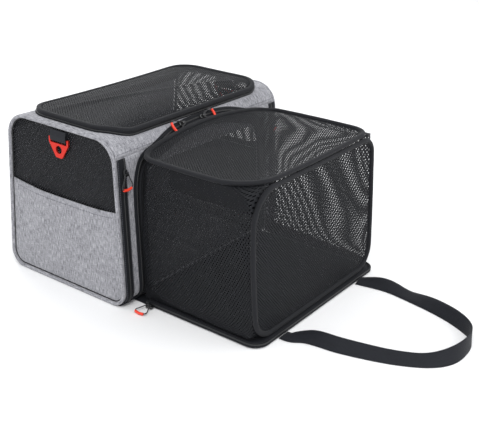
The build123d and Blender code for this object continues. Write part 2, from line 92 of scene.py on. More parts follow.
HEIGHT = high("top_panel")[2]
END_FACE = high("end_panel_right")[0]
SHELL_END = END_FACE - 0.4  # the cloth turns in behind the piping
PIPING_RADIUS = 3.0  # a thin cord; the CAD roll also holds the wire and both seam edges
BASE_SEAM = low("back_panel")[2]
TOP_SEAM = high("back_panel")[2]
POCKET_TOP = high("end_pocket_right")[2]
TENT_HALF = high("tent_roof_binding")[0]
ROOF_HEIGHT = (low("tent_roof_binding")[2] + high("tent_roof_binding")[2]) / 2
ROOF_END = low("tent_roof_binding")[1]
HOOP_FOOT = -361.0
HOOP_HEAD = -346.5
HOOP_LOW = 11.4
HOOP_HIGH = high("tent_end_binding")[2] - 2.8
COVER_HALF = high("cover_fabric")[0]
COVER_END = low("cover_fabric")[1]
COVER_HINGE = high("cover_fabric")[1]
COVER_LOW = low("cover_fabric")[2]
COVER_TOP = high("cover_lining")[2]
COVER_RIM_TOP = high("cover_rim")[2]
RING_BAR_RADIUS = 1.6
TAB_THICK = 1.6
TAB_PLAY = 0.3
RING_BAR_X = round(END_FACE) + RING_BAR_RADIUS + TAB_THICK + TAB_PLAY
RING_BAR_Z = HEIGHT - 24.0

# ---- The carrier's section ----
BASE_WIDTH = 270.0
TOP_WIDTH = 236.0
TOP_RADIUS = 42.0
BASE_RADIUS = 28.0
WALL = 3.0
TOP_SAG = 3.0

# ---- Flap, passage and band ----
FLAP_HALF = 200.0
FLAP_FRONT = -106.0
FLAP_BACK = 98.0
FLAP_RADIUS = 52.0
TAPE = 1.2
TAPE_WIDE = 12.0
PASSAGE_HALF = 153.0
PASSAGE_TOP = 222.0
BAND_HALF = 176.0
CORNER_ZIP = 198.0

# ---- Sewing, zips and webbing ----
COIL_PITCH = 2.0  # a number 5 coil has 1.5; a little coarser, so that it shows
STITCH_PITCH = 3.6
STITCH_LENGTH = 2.7
SEAM_ALLOWANCE = 5.5
HANDLE_WIDE = 25.0
HANDLE_THICK = 1.5
FRONT_HANDLE_HALF = 114.0
REAR_HANDLE_HALF = 110.0
PATCH_HALF = 12.3
PATCH_LENGTH = 37.0
NET_RINGS = 26
TENT_CLOTH = 228.0  # length of the tent's nets before they are sewn in
SIDE_CLOTH = 236.0


# ---- Colours ----
def to_linear(code, alpha=1.0):
    """An sRGB hex colour as the linear colour that a shader takes."""
    parts = [int(code[i:i + 2], 16) / 255 for i in (1, 3, 5)]
    return [p / 12.92 if p <= 0.04045 else ((p + 0.055) / 1.055) ** 2.4 for p in parts] + [alpha]


HEATHER_LIGHT = "#A7A7AC"
HEATHER_DARK = "#4C4C53"
NET_BLACK = "#080A0F"
BINDING_CHARCOAL = "#121317"
TAPE_NAVY = "#0B0D12"
WEBBING_NAVY = "#12141A"
LINING_NAVY = "#0C0E14"
PLUSH_CHARCOAL = "#2B2C32"
RING_RED = "#CE3025"
SLEEVE_RED = "#E9402B"
SLIDER_BLACK = "#121315"
CORD_BLACK = "#0D0D10"
THREAD_GREY = "#55555E"
FLOOR_WHITE = "#F4F4F4"


def colour_property(name, code, description):
    """A colour that the user may change, starting from a hex value."""
    return FloatVectorProperty(
        name=name, description=description, subtype="COLOR", size=4, min=0, max=1, default=to_linear(code)
    )


class CarrierColours(bpy.types.PropertyGroup):
    """Colours of the carrier's materials."""

    heather_light: colour_property("Heather, light yarn", HEATHER_LIGHT, "Light yarn of the grey panels")
    heather_dark: colour_property("Heather, dark yarn", HEATHER_DARK, "Dark yarn of the grey panels")
    net: colour_property("Net", NET_BLACK, "Yarn of the nets")
    binding: colour_property("Binding", BINDING_CHARCOAL, "Folded tape round the nets")
    tape: colour_property("Zip tape", TAPE_NAVY, "Tape and coil of the zips")
    webbing: colour_property("Webbing", WEBBING_NAVY, "Handles and ring tabs")
    lining: colour_property("Lining", LINING_NAVY, "Inside of the panels, and the tent's floor")
    plush: colour_property("Plush", PLUSH_CHARCOAL, "The mat's pile")
    ring: colour_property("Ring", RING_RED, "Strap rings")
    sleeve: colour_property("Pull sleeve", SLEEVE_RED, "Rubber sleeves of the zip pulls")


class CarrierSizes(bpy.types.PropertyGroup):
    """Sizes of the soft work that the frame leaves open."""

    top_sag: FloatProperty(
        name="Top sag", description="How far the top and back panels sink between the ends",
        default=TOP_SAG * MM, min=0, max=0.01, unit="LENGTH",
    )
    flap_crown: FloatProperty(
        name="Flap crown", description="How far the flap's net rises in its middle",
        default=0.009, min=0, max=0.015, unit="LENGTH",
    )
    roof_sag: FloatProperty(
        name="Roof sag", description="How far the tent's roof net hangs in its middle",
        default=0.006, min=0, max=0.02, unit="LENGTH",
    )
    net_pitch: FloatProperty(
        name="Net pitch", description="Spacing of the net's holes",
        default=0.0048, min=0.001, max=0.01, unit="LENGTH",
    )
    piping_radius: FloatProperty(
        name="Piping radius", description="Half the thickness of the end piping",
        default=PIPING_RADIUS * MM, min=0.002, max=0.008, unit="LENGTH",
    )


def sizes():
    """The size settings."""
    return bpy.context.scene.carrier_sizes


def colours():
    """The colour settings."""
    return bpy.context.scene.carrier_colours


# ---- Materials ----
def add_node(tree, kind, inputs=None, **settings):
    """Adds a node, sets its fields, and sets or links its inputs."""
    node = tree.nodes.new(kind)
    for field, value in settings.items():
        setattr(node, field, value)
    for socket, value in (inputs or {}).items():
        if isinstance(value, bpy.types.NodeSocket):
            tree.links.new(value, node.inputs[socket])
        else:
            node.inputs[socket].default_value = value
    return node


def new_material(name):
    """An empty material, or None if it has been made already."""
    if name in bpy.data.materials:
        return None
    material = bpy.data.materials.new(name)
    material.use_nodes = True
    material.node_tree.nodes.clear()
    return material


def finish_material(material, **sockets):
    """Closes a material with one principled shader; sockets are named in plain words."""
    tree = material.node_tree
    names = {
        "colour": "Base Color", "roughness": "Roughness", "metallic": "Metallic", "ior": "IOR",
        "normal": "Normal", "alpha": "Alpha", "sheen": "Sheen Weight", "sheen_roughness": "Sheen Roughness",
        "coat": "Coat Weight", "coat_roughness": "Coat Roughness", "specular": "Specular IOR Level",
    }
    inputs = {names[word]: value for word, value in sockets.items()}
    shader = add_node(tree, "ShaderNodeBsdfPrincipled", inputs)
    add_node(tree, "ShaderNodeOutputMaterial", {"Surface": shader.outputs[0]})
    return material


def stretched_noise(tree, where, across, along, detail=2.0):
    """Noise with grains of a real size in millimetres, across and along the cloth."""
    grains = add_node(
        tree, "ShaderNodeVectorMath", {0: where, 1: (1 / across, 1 / along, 1 / across)}, operation="MULTIPLY"
    )
    noise = add_node(
        tree, "ShaderNodeTexNoise", {"Vector": grains.outputs[0], "Scale": 1.0, "Detail": detail}
    )
    return noise.outputs["Fac"]


def cloth_place(tree):
    """Where a point lies on its own cloth, in millimetres."""
    return add_node(tree, "ShaderNodeUVMap", uv_map="cloth").outputs[0]


def object_place(tree):
    """Where a point lies in the row frame, in millimetres."""
    place = add_node(tree, "ShaderNodeTexCoord").outputs["Object"]
    return add_node(tree, "ShaderNodeVectorMath", {0: place, "Scale": 1 / MM}, operation="SCALE").outputs[0]


def heather_polyester():
    """Woven polyester of light and dark melange yarns over thin foam.

    The eye gets short streaks along both yarns, a dry matt face and a soft cloudiness.
    """
    material = new_material("heather_polyester_woven")
    if material is None:
        return bpy.data.materials["heather_polyester_woven"]
    tree = material.node_tree
    place = cloth_place(tree)
    # Yarns are about 0.5 mm thick and change shade every 10 mm or so; drawn at 1 mm so that they show.
    warp = stretched_noise(tree, place, 1.0, 11.0)
    weft = stretched_noise(tree, place, 8.0, 1.0)
    cloud = stretched_noise(tree, place, 38.0, 60.0)
    both = add_node(tree, "ShaderNodeMath", {0: warp, 1: 0.62}, operation="MULTIPLY").outputs[0]
    both = add_node(tree, "ShaderNodeMath", {0: weft, 1: 0.30, 2: both}, operation="MULTIPLY_ADD").outputs[0]
    both = add_node(tree, "ShaderNodeMath", {0: cloud, 1: 0.10, 2: both}, operation="MULTIPLY_ADD").outputs[0]
    tone = add_node(
        tree, "ShaderNodeMapRange",
        {"Value": both, "From Min": 0.38, "From Max": 0.63, "To Min": 0.0, "To Max": 1.0},
    )
    colour = add_node(
        tree, "ShaderNodeMix",
        {0: tone.outputs[0], 6: list(colours().heather_dark), 7: list(colours().heather_light)},
        data_type="RGBA",
    )
    bump = add_node(
        tree, "ShaderNodeBump", {"Height": both, "Strength": 0.35, "Distance": 0.0006}
    )
    return finish_material(
        material, colour=colour.outputs[2], roughness=0.9, normal=bump.outputs[0], sheen=0.25,
        sheen_roughness=0.6, ior=1.47,
    )


def knitted_net():
    """Warp-knitted polyester net with staggered six-sided holes.

    The eye gets dark yarn with a regular lattice of holes that what lies behind shows through.
    """
    material = new_material("polyester_net_knitted")
    if material is None:
        return bpy.data.materials["polyester_net_knitted"]
    tree = material.node_tree
    pitch = sizes().net_pitch / MM
    place = add_node(
        tree, "ShaderNodeVectorMath", {0: cloth_place(tree), 1: (1 / pitch, 1 / (pitch * 1.25), 0)},
        operation="MULTIPLY",
    ).outputs[0]
    distances = []
    for shift in (0.0, 0.5):
        moved = add_node(
            tree, "ShaderNodeVectorMath", {0: place, 1: (shift, shift, 0)}, operation="ADD"
        ).outputs[0]
        cell = add_node(tree, "ShaderNodeVectorMath", {0: moved}, operation="FRACTION").outputs[0]
        arm = add_node(
            tree, "ShaderNodeVectorMath", {0: cell, 1: (0.5, 0.5, 0)}, operation="SUBTRACT"
        ).outputs[0]
        distances.append(
            add_node(tree, "ShaderNodeVectorMath", {0: arm}, operation="LENGTH").outputs["Value"]
        )
    nearest = add_node(
        tree, "ShaderNodeMath", {0: distances[0], 1: distances[1]}, operation="MINIMUM"
    ).outputs[0]
    # A real net's holes are about 1 mm wide and 3 mm apart; drawn 1.6 times as coarse, so that they show.
    yarn = add_node(
        tree, "ShaderNodeMapRange",
        {"Value": nearest, "From Min": 0.15, "From Max": 0.205, "To Min": 0.0, "To Max": 1.0},
    ).outputs[0]
    bump = add_node(
        tree, "ShaderNodeBump", {"Height": nearest, "Strength": 0.6, "Distance": 0.0006}, invert=True
    )
    shade = stretched_noise(tree, cloth_place(tree), 30.0, 30.0)
    colour = add_node(
        tree, "ShaderNodeMix",
        {0: shade, 6: [c * 0.7 for c in colours().net], 7: [c * 1.5 for c in colours().net]},
        data_type="RGBA",
    )
    return finish_material(
        material, colour=colour.outputs[2], roughness=0.7, alpha=yarn, normal=bump.outputs[0],
        specular=0.3, ior=1.5,
    )


def ribbed_cloth(name, colour, rib, roughness, sheen, depth):
    """Narrow woven goods: ribs across the cloth at a real pitch, with the yarn's own unevenness, and painted
    shade in the grooves between ribs with a painted highlight on their crests.
    """
    material = new_material(name)
    if material is None:
        return bpy.data.materials[name]
    tree = material.node_tree
    place = cloth_place(tree)
    turns = add_node(
        tree, "ShaderNodeVectorMath", {0: place, 1: (0, 2 * math.pi / rib, 0)}, operation="DOT_PRODUCT"
    ).outputs["Value"]
    wave = add_node(tree, "ShaderNodeMath", {0: turns}, operation="SINE").outputs[0]
    fuzz = stretched_noise(tree, place, 0.8, 3.0)
    height = add_node(
        tree, "ShaderNodeMath", {0: wave, 1: 0.4, 2: fuzz}, operation="MULTIPLY_ADD"
    ).outputs[0]
    mottle = stretched_noise(tree, place, 6.0, 22.0)
    # The colour follows the ribs' height as well as the yarn's mottle: painted shade in the grooves and
    # painted highlight on the crests, over the yarn's real unevenness.
    tone = add_node(
        tree, "ShaderNodeMath", {0: height, 1: 0.5, 2: mottle}, operation="MULTIPLY_ADD"
    ).outputs[0]
    mottle_and_painted_rib_shade = add_node(
        tree, "ShaderNodeMix",
        {0: tone, 6: [c * 0.65 for c in colour], 7: [c * 1.35 for c in colour]}, data_type="RGBA",
    )
    bump = add_node(tree, "ShaderNodeBump", {"Height": height, "Strength": 0.5, "Distance": depth})
    return finish_material(
        material, colour=mottle_and_painted_rib_shade.outputs[2], roughness=roughness, normal=bump.outputs[0], sheen=sheen, ior=1.5,
        specular=0.25,
    )


def folded_binding():
    """Plain-woven nylon tape folded over an edge: a soft charcoal with a faint cross rib."""
    return ribbed_cloth("nylon_binding_woven", list(colours().binding), 1.6, 0.78, 0.05, 0.0003)


def zip_tape():
    """Twill polyester zip tape: dark, flat and fine-ribbed."""
    return ribbed_cloth("polyester_zip_tape_twill", list(colours().tape), 1.2, 0.8, 0.04, 0.0002)


def ribbed_webbing():
    """Thick woven polypropylene webbing: strong cross ribs and a slight shine."""
    return ribbed_cloth("polypropylene_webbing_woven", list(colours().webbing), 1.8, 0.68, 0.05, 0.0005)


def smooth_lining():
    """Plain-woven coated polyester: nearly smooth, very dark."""
    return ribbed_cloth("coated_polyester_lining", list(colours().lining), 0.9, 0.7, 0.03, 0.0001)


def plain_material(name, colour, place_size, depth, **sockets):
    """A solid material: its own colour on the shader, and a grain of a real size as bump and roughness."""
    material = new_material(name)
    if material is None:
        return bpy.data.materials[name]
    tree = material.node_tree
    grain = stretched_noise(tree, object_place(tree), place_size, place_size, 3.0)
    bump = add_node(tree, "ShaderNodeBump", {"Height": grain, "Strength": 0.4, "Distance": depth})
    rough = sockets.pop("roughness")
    roughness = add_node(
        tree, "ShaderNodeMapRange",
        {"Value": grain, "From Min": 0.3, "From Max": 0.7, "To Min": rough * 0.85, "To Max": rough * 1.15},
    ).outputs[0]
    return finish_material(
        material, colour=colour, normal=bump.outputs[0], roughness=roughness, **sockets
    )


def charcoal_plush():
    """Short polyester pile: deep, soft, with a bright rim where the pile leans."""
    return plain_material("polyester_plush_pile", list(colours().plush), 1.4, 0.0012,
                          roughness=0.95, sheen=0.8, sheen_roughness=0.5)


def anodised_aluminium():
    """Die-cut aluminium, red anodised: a clear metallic red with a satin grain."""
    return plain_material("aluminium_red_anodised", list(colours().ring), 0.6, 0.00005,
                          roughness=0.34, metallic=0.75)


def painted_zinc():
    """Die-cast zinc, black stove enamel: soft highlights along its edges."""
    return plain_material("zinc_black_enamel", to_linear(SLIDER_BLACK), 0.8, 0.00006,
                          roughness=0.38, coat=0.3, coat_roughness=0.2, ior=1.5)


def moulded_silicone():
    """Red silicone rubber moulded on the cord: bright and softly shining."""
    return plain_material("silicone_red_moulded", list(colours().sleeve), 0.9, 0.00006,
                          roughness=0.42, ior=1.41)


def braided_cord():
    """Thin braided polyester cord, waxed: near black with a fine sparkle."""
    return plain_material("polyester_cord_braided", to_linear(CORD_BLACK), 0.5, 0.0002,
                          roughness=0.6, sheen=0.2)


def coil_nylon():
    """Nylon monofilament coil: near black, smooth and shining."""
    return plain_material("nylon_coil_drawn", to_linear(SLIDER_BLACK), 0.7, 0.00004,
                          roughness=0.4, ior=1.53)


def sewing_thread():
    """Bonded nylon sewing thread: a matt mid grey."""
    return plain_material("nylon_thread_bonded", to_linear(THREAD_GREY), 0.4, 0.0001, roughness=0.8)


def dark_thread():
    """Bonded nylon sewing thread, black."""
    return plain_material("nylon_thread_black", to_linear(SLIDER_BLACK), 0.4, 0.0001, roughness=0.7)


# ---- Lines ----
def travelled(points):
    """How far along a line each of its points lies."""
    return np.concatenate([[0], np.cumsum(np.linalg.norm(np.diff(points, axis=0), axis=1))])


def resample(points, step=None, count=None, closed=False):
    """The same line through evenly spaced points."""
    points = np.asarray(points, float)
    if closed:
        points = np.vstack([points, points[:1]])
    reach = travelled(points)
    count = count or max(2, int(round(reach[-1] / step)) + (0 if closed else 1))
    at = np.linspace(0, reach[-1], count, endpoint=not closed)
    return np.stack([np.interp(at, reach, points[:, i]) for i in range(points.shape[1])], axis=1)


def rounded_polygon(points, radii, arc_points=14):
    """A closed outline whose corners are arcs of the given radii."""
    line = []
    total = len(points)
    for i, (point, radius) in enumerate(zip(points, radii)):
        corner = np.array(point, float)
        back = np.array(points[i - 1], float) - corner
        on = np.array(points[(i + 1) % total], float) - corner
        back /= np.linalg.norm(back)
        on /= np.linalg.norm(on)
        if radius <= 0:
            line.append(corner)
            continue
        half = math.acos(float(np.clip(back @ on, -1, 1))) / 2
        start = corner + back * radius / math.tan(half)
        end = corner + on * radius / math.tan(half)
        bisector = (back + on) / np.linalg.norm(back + on)
        centre = corner + bisector * radius / math.sin(half)
        for turn in np.linspace(0, 1, arc_points):
            arm = (1 - turn) * (start - centre) + turn * (end - centre)
            line.append(centre + radius * arm / np.linalg.norm(arm))
    return np.array(line)


def smooth_path(points, step, closed=False):
    """A Catmull-Rom curve through a few points, evenly divided."""
    knots = np.asarray(points, float)
    count = len(knots)
    ends = range(count) if closed else range(count - 1)
    line = []
    for i in ends:
        if closed:
            a, b, c, d = (knots[(i + k) % count] for k in (-1, 0, 1, 2))
        else:
            b, c = knots[i], knots[i + 1]
            a = knots[i - 1] if i else 2 * b - c
            d = knots[i + 2] if i + 2 < count else 2 * c - b
        for t in np.linspace(0, 1, 24, endpoint=False):
            line.append(0.5 * (2 * b + (c - a) * t + (2 * a - 5 * b + 4 * c - d) * t ** 2
                               + (3 * b - a - 3 * c + d) * t ** 3))
    if not closed:
        line.append(knots[-1])
    return resample(line, step=step, closed=closed)


def unit(rows):
    """Rows scaled to length one."""
    return rows / np.maximum(np.linalg.norm(rows, axis=-1, keepdims=True), 1e-9)


def directions(path, closed=False):
    """The direction of a line at each of its points."""
    if closed:
        return unit(np.roll(path, -1, axis=0) - np.roll(path, 1, axis=0))
    return unit(np.gradient(path, axis=0))


def ease(value):
    """0 below 0, 1 above 1, smooth between."""
    value = np.clip(value, 0, 1)
    return value * value * (3 - 2 * value)


# ---- Meshes ----
def mesh_object(name, points, faces, materials, uv=None, smooth=True):
    """A mesh from points in millimetres. uv gives each point's place on its cloth, in millimetres."""
    mesh = bpy.data.meshes.new(name)
    mesh.from_pydata((np.asarray(points, float).reshape(-1, 3) * MM).tolist(), [], faces)
    if uv is not None:
        layer = mesh.uv_layers.new(name="cloth")
        flat = np.asarray(uv, float).reshape(-1, 2)
        corners = np.zeros(len(mesh.loops), int)
        mesh.loops.foreach_get("vertex_index", corners)
        layer.data.foreach_set("uv", flat[corners].ravel())
    for material in materials if isinstance(materials, (list, tuple)) else [materials]:
        mesh.materials.append(material)
    mesh.polygons.foreach_set("use_smooth", [smooth] * len(mesh.polygons))
    mesh.validate()
    made = bpy.data.objects.new(name, mesh)
    bpy.context.scene.collection.objects.link(made)
    return made


def grid_faces(rows, columns, ring_rows=False, ring_columns=False, start=0):
    """Quads over a grid of points, joined round where it is a ring."""
    faces = []
    for i in range(rows if ring_rows else rows - 1):
        for j in range(columns if ring_columns else columns - 1):
            a = i * columns + j
            b = i * columns + (j + 1) % columns
            c = ((i + 1) % rows) * columns + (j + 1) % columns
            d = ((i + 1) % rows) * columns + j
            faces.append((start + a, start + b, start + c, start + d))
    return faces


def tube_faces(rows, columns, closed=False, start=0):
    """Faces round rings of points, with a lid on each open end."""
    faces = grid_faces(rows, columns, closed, True, start)
    if not closed:
        last = start + (rows - 1) * columns
        faces.append(tuple(range(start, start + columns))[::-1])
        faces.append(tuple(range(last, last + columns)))
    return faces


def shrinking_rings(outline, middle, rings):
    """Rings of an outline down to its middle, and the size of each as a share of the first."""
    shares = np.linspace(1, 0.02, rings)
    return middle + (outline - middle)[None] * shares[:, None, None], shares[:, None]


def sheet_mesh(name, grid, uv, materials, thickness=0.0, ring_columns=False, capped=False, flip=False):
    """A sheet over a grid of points, with its thickness added on the inner side."""
    rows, columns = grid.shape[:2]
    faces = grid_faces(rows, columns, False, ring_columns)
    if capped:
        faces.append(tuple((rows - 1) * columns + j for j in range(columns)))
    if flip:
        faces = [face[::-1] for face in faces]
    made = mesh_object(name, grid, faces, materials, uv)
    if thickness:
        thicken = made.modifiers.new("thickness", "SOLIDIFY")
        thicken.thickness = thickness * MM
        thicken.offset = -1
        thicken.use_even_offset = True
        thicken.material_offset = 1 if len(made.data.materials) > 1 else 0
        thicken.material_offset_rim = 0
        apply_modifiers(made)
    return made


def apply_modifiers(made):
    """Turns a piece's modifiers into plain mesh."""
    depsgraph = bpy.context.evaluated_depsgraph_get()
    final = bpy.data.meshes.new_from_object(made.evaluated_get(depsgraph))
    made.modifiers.clear()
    made.data = final
    return made


def swept_grid(path, section, up, closed=False, scale=None, lean=None):
    """Rings of a section along a line. The section's points are (across, out); out starts along up."""
    along = directions(path, closed)
    across = unit(np.cross(along, up))
    out = np.cross(across, along)
    section = np.asarray(section, float)
    if lean is not None:
        turn = np.radians(lean)[:, None]
        across, out = (across * np.cos(turn) + out * np.sin(turn),
                       out * np.cos(turn) - across * np.sin(turn))
    size = np.ones(len(path)) if scale is None else scale
    return (path[:, None]
            + across[:, None] * (section[None, :, 0] * size[:, None])[..., None]
            + out[:, None] * (section[None, :, 1] * size[:, None])[..., None])


def ring_uv(grid):
    """Cloth places for a swept piece: round its section, and along its line."""
    return np.stack(np.meshgrid(travelled(grid[len(grid) // 2]), travelled(grid.mean(axis=1))), axis=-1)


def swept(name, path, section, up, material, closed=False, scale=None, lean=None):
    """A piece of one section swept along a line, closed at open ends."""
    grid = swept_grid(path, section, up, closed, scale, lean)
    return mesh_object(name, grid, tube_faces(*grid.shape[:2], closed), material, ring_uv(grid))


def round_section(radius, squeeze=1.0, sides=14):
    """A circle, or an oval flattened in its second direction."""
    turn = np.linspace(0, 2 * math.pi, sides, endpoint=False)
    return np.stack([radius * np.cos(turn), radius * squeeze * np.sin(turn)], axis=1)


def strap_section(width, thickness):
    """A flat strap with rounded edges."""
    half = width / 2
    edge = thickness / 2
    xs = [-half + edge, -half * 0.5, 0, half * 0.5, half - edge]
    return np.array([(-half, 0)] + [(x, edge) for x in xs] + [(half, 0)] + [(x, -edge) for x in xs[::-1]])


def at_distance(distance, reach, rows):
    """The row of values found at a distance along a line."""
    return np.array([np.interp(distance, reach, rows[:, i]) for i in range(3)])


def stitches(name, line, normals, body, colour=None, radius=0.42):
    """A row of machine stitches lying on a line, each a low pod half sunk in the cloth."""
    line = np.asarray(line, float)
    reach = travelled(line)
    middles = np.arange(STITCH_PITCH / 2, reach[-1] - STITCH_LENGTH / 2, STITCH_PITCH)
    if len(middles) == 0:
        raise RuntimeError(f"{name}: the line is too short for a stitch")
    points, faces = [], []
    ring = 5
    look_ahead = 0.6
    # Each pod's rings: place along the stitch, and thickness as a share of the radius.
    stations = ((-0.5, 0.25), (-0.28, 0.95), (0.28, 0.95), (0.5, 0.25))
    for middle in middles:
        centre = at_distance(middle, reach, line)
        normal = at_distance(middle, reach, normals)
        along = unit(at_distance(middle + look_ahead, reach, line) - centre)
        across = unit(np.cross(along, normal))
        faces += tube_faces(len(stations), ring, False, len(points))
        for share, swell in stations:
            for turn in np.linspace(0, 2 * math.pi, ring, endpoint=False):
                points.append(centre + along * share * STITCH_LENGTH
                              + (across * math.cos(turn) + unit(normal) * math.sin(turn)) * radius * swell)
    made = mesh_object(name, points, faces, colour or sewing_thread())
    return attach(made, body)


# ---- The carrier's surface ----
def carrier_outline():
    """Arc length, place and outward normal round the section: base, front, top, back."""
    line = rounded_polygon(
        [(0, 0), (-BASE_WIDTH / 2, 0), (-TOP_WIDTH / 2, HEIGHT), (TOP_WIDTH / 2, HEIGHT),
         (BASE_WIDTH / 2, 0)],
        [0, BASE_RADIUS, TOP_RADIUS, TOP_RADIUS, BASE_RADIUS], 24,
    )
    line = resample(line, step=1.0, closed=True)
    line = np.vstack([line, line[:1]])
    reach = travelled(line)
    along = unit(np.gradient(line, axis=0))
    normals = np.stack([-along[:, 1], along[:, 0]], axis=1)
    return reach, line, normals


REACH, OUTLINE, NORMALS = carrier_outline()
ROUND = REACH[-1]
TOP_MIDDLE = ROUND / 2
FRONT_HALF = REACH <= TOP_MIDDLE
FACE_SPAN = (REACH > BASE_WIDTH / 2 - 20) & (REACH < ROUND - BASE_WIDTH / 2 + 20)


def at_height(z):
    """Arc length on the front at a height."""
    keep = FRONT_HALF & (REACH > BASE_WIDTH / 2 - BASE_RADIUS - 4)
    return np.interp(z, OUTLINE[keep, 1], REACH[keep])


def at_back_height(z):
    """Arc length on the back at a height."""
    return ROUND - at_height(z)


def at_depth(y):
    """Arc length on the faces and the top at a distance from front to back."""
    return np.interp(y, OUTLINE[FACE_SPAN, 0], REACH[FACE_SPAN])


def settling(x, s):
    """How far the soft shell sinks from its true surface."""
    lengthwise = np.clip(1 - (x / SHELL_END) ** 2, 0, 1)
    # The sag sets in over the front of the top and fades out low on the back.
    roundwise = ease((s - at_depth(-62)) / 60) * ease((at_back_height(50) - s) / 90)
    return sizes().top_sag / MM * lengthwise * roundwise


def normal_at(s):
    """Outward normal of the carrier's section, as vectors in the row frame."""
    s = np.mod(s, ROUND)
    ny = np.interp(s, REACH, NORMALS[:, 0])
    nz = np.interp(s, REACH, NORMALS[:, 1])
    return np.stack([np.zeros_like(ny), ny, nz], axis=-1)


def on_carrier(x, s, out=0.0):
    """Points over the carrier's outer surface, from x and the arc length round the section."""
    x, s, out = np.broadcast_arrays(np.asarray(x, float), np.asarray(s, float), np.asarray(out, float))
    turn = np.mod(s, ROUND)
    y = np.interp(turn, REACH, OUTLINE[:, 0])
    z = np.interp(turn, REACH, OUTLINE[:, 1])
    place = np.stack([x, y, z], axis=-1)
    return place + normal_at(s) * (out - settling(x, s))[..., None]


def carrier_band(name, path, section, material, closed=False, body="carrier"):
    """A band laid on the carrier's surface. The path is in (x, arc length), the section in (across, out)."""
    along = directions(path, closed)
    across = np.stack([along[:, 1], -along[:, 0]], axis=1)
    section = np.asarray(section, float)
    x = path[:, None, 0] + across[:, None, 0] * section[None, :, 0]
    s = path[:, None, 1] + across[:, None, 1] * section[None, :, 0]
    grid = on_carrier(x, s, section[None, :, 1])
    made = mesh_object(name, grid, tube_faces(*grid.shape[:2], closed), material, ring_uv(grid))
    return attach(made, body)


def coil(name, line, normals, body, closed=False, half_width=1.9, height=1.5):
    """A zip's closed coil: a low ridged rope along its two tapes' meeting edges."""
    count = int(np.linalg.norm(np.diff(line, axis=0), axis=1).sum() / (COIL_PITCH / 4))
    both = resample(np.hstack([line, normals]), count=count, closed=closed)
    path, up = both[:, :3], unit(both[:, 3:])
    ridges = 0.86 + 0.14 * np.cos(np.arange(len(path)) * math.pi / 2)
    grid = swept_grid(path, round_section(half_width, height / half_width, 8), up, closed, scale=ridges)
    made = mesh_object(name, grid, tube_faces(*grid.shape[:2], closed), coil_nylon())
    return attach(made, body)


def puckers(distance, along):
    """Small gathers that a seam draws into the cloth beside it, and the groove of the seam itself."""
    spacing, height, reach = 13, 0.45, 7
    groove_depth, groove_width = 1.3, 2.2
    wave = np.sin(along * 2 * math.pi / spacing + 1.7 * np.sin(along / 29))
    return height * np.exp(-distance / reach) * wave - groove_depth * np.exp(-(distance / groove_width) ** 2)


def framed_panel(name, hole, s_low, s_high, materials):
    """A shell panel from seam to seam round a hole. The hole is a closed line in (x, arc length)."""
    middle = np.array([0.0, (hole[:, 1].min() + hole[:, 1].max()) / 2])
    arms = hole - middle
    with np.errstate(divide="ignore"):
        room_x = SHELL_END / np.abs(arms[:, 0])
        room_s = np.where(arms[:, 1] > 0, s_high - middle[1], middle[1] - s_low) / np.abs(arms[:, 1])
    outer = middle + arms * np.minimum(room_x, room_s)[:, None]
    for corner in ((-SHELL_END, s_low), (SHELL_END, s_low), (SHELL_END, s_high), (-SHELL_END, s_high)):
        outer[np.argmin(np.linalg.norm(outer - corner, axis=1))] = corner
    shares = np.array([0, 0.02, 0.05, 0.1, 0.18, 0.3, 0.45, 0.6, 0.75, 0.88, 1.0])
    flat = hole[None] + (outer - hole)[None] * (1 - shares)[:, None, None]
    x, s = flat[..., 0], flat[..., 1]
    seam = np.minimum(SHELL_END - np.abs(x), np.minimum(s - s_low, s_high - s))
    grid = on_carrier(x, s, puckers(np.maximum(seam, 0), x + s))
    return sheet_mesh(name, grid, flat, materials, WALL, ring_columns=True)


def flap_line(growth=0.0):
    """The flap's closed outline in (x, arc length), grown outwards."""
    half = FLAP_HALF + growth
    near, far = FLAP_FRONT - growth, FLAP_BACK + growth
    line = rounded_polygon(
        [(-half, near), (half, near), (half, far), (-half, far)], [FLAP_RADIUS + growth] * 4, 20
    )
    line = resample(line, step=3.0, closed=True)
    return np.stack([line[:, 0], at_depth(line[:, 1])], axis=1)


def passage_line():
    """The front passage's closed outline in (x, arc length)."""
    sill, corner = 14, 40
    line = rounded_polygon(
        [(-PASSAGE_HALF, sill), (PASSAGE_HALF, sill), (PASSAGE_HALF, PASSAGE_TOP),
         (-PASSAGE_HALF, PASSAGE_TOP)],
        [0, 0, corner, corner], 16,
    )
    line = resample(line, step=4.0, closed=True)
    return np.stack([line[:, 0], at_height(line[:, 1])], axis=1)


def seam_stitches(name, x, s, out=0.15):
    """Topstitching along a line on the carrier."""
    line = on_carrier(x, s, out)
    return stitches(name, line, normal_at(s), "carrier")


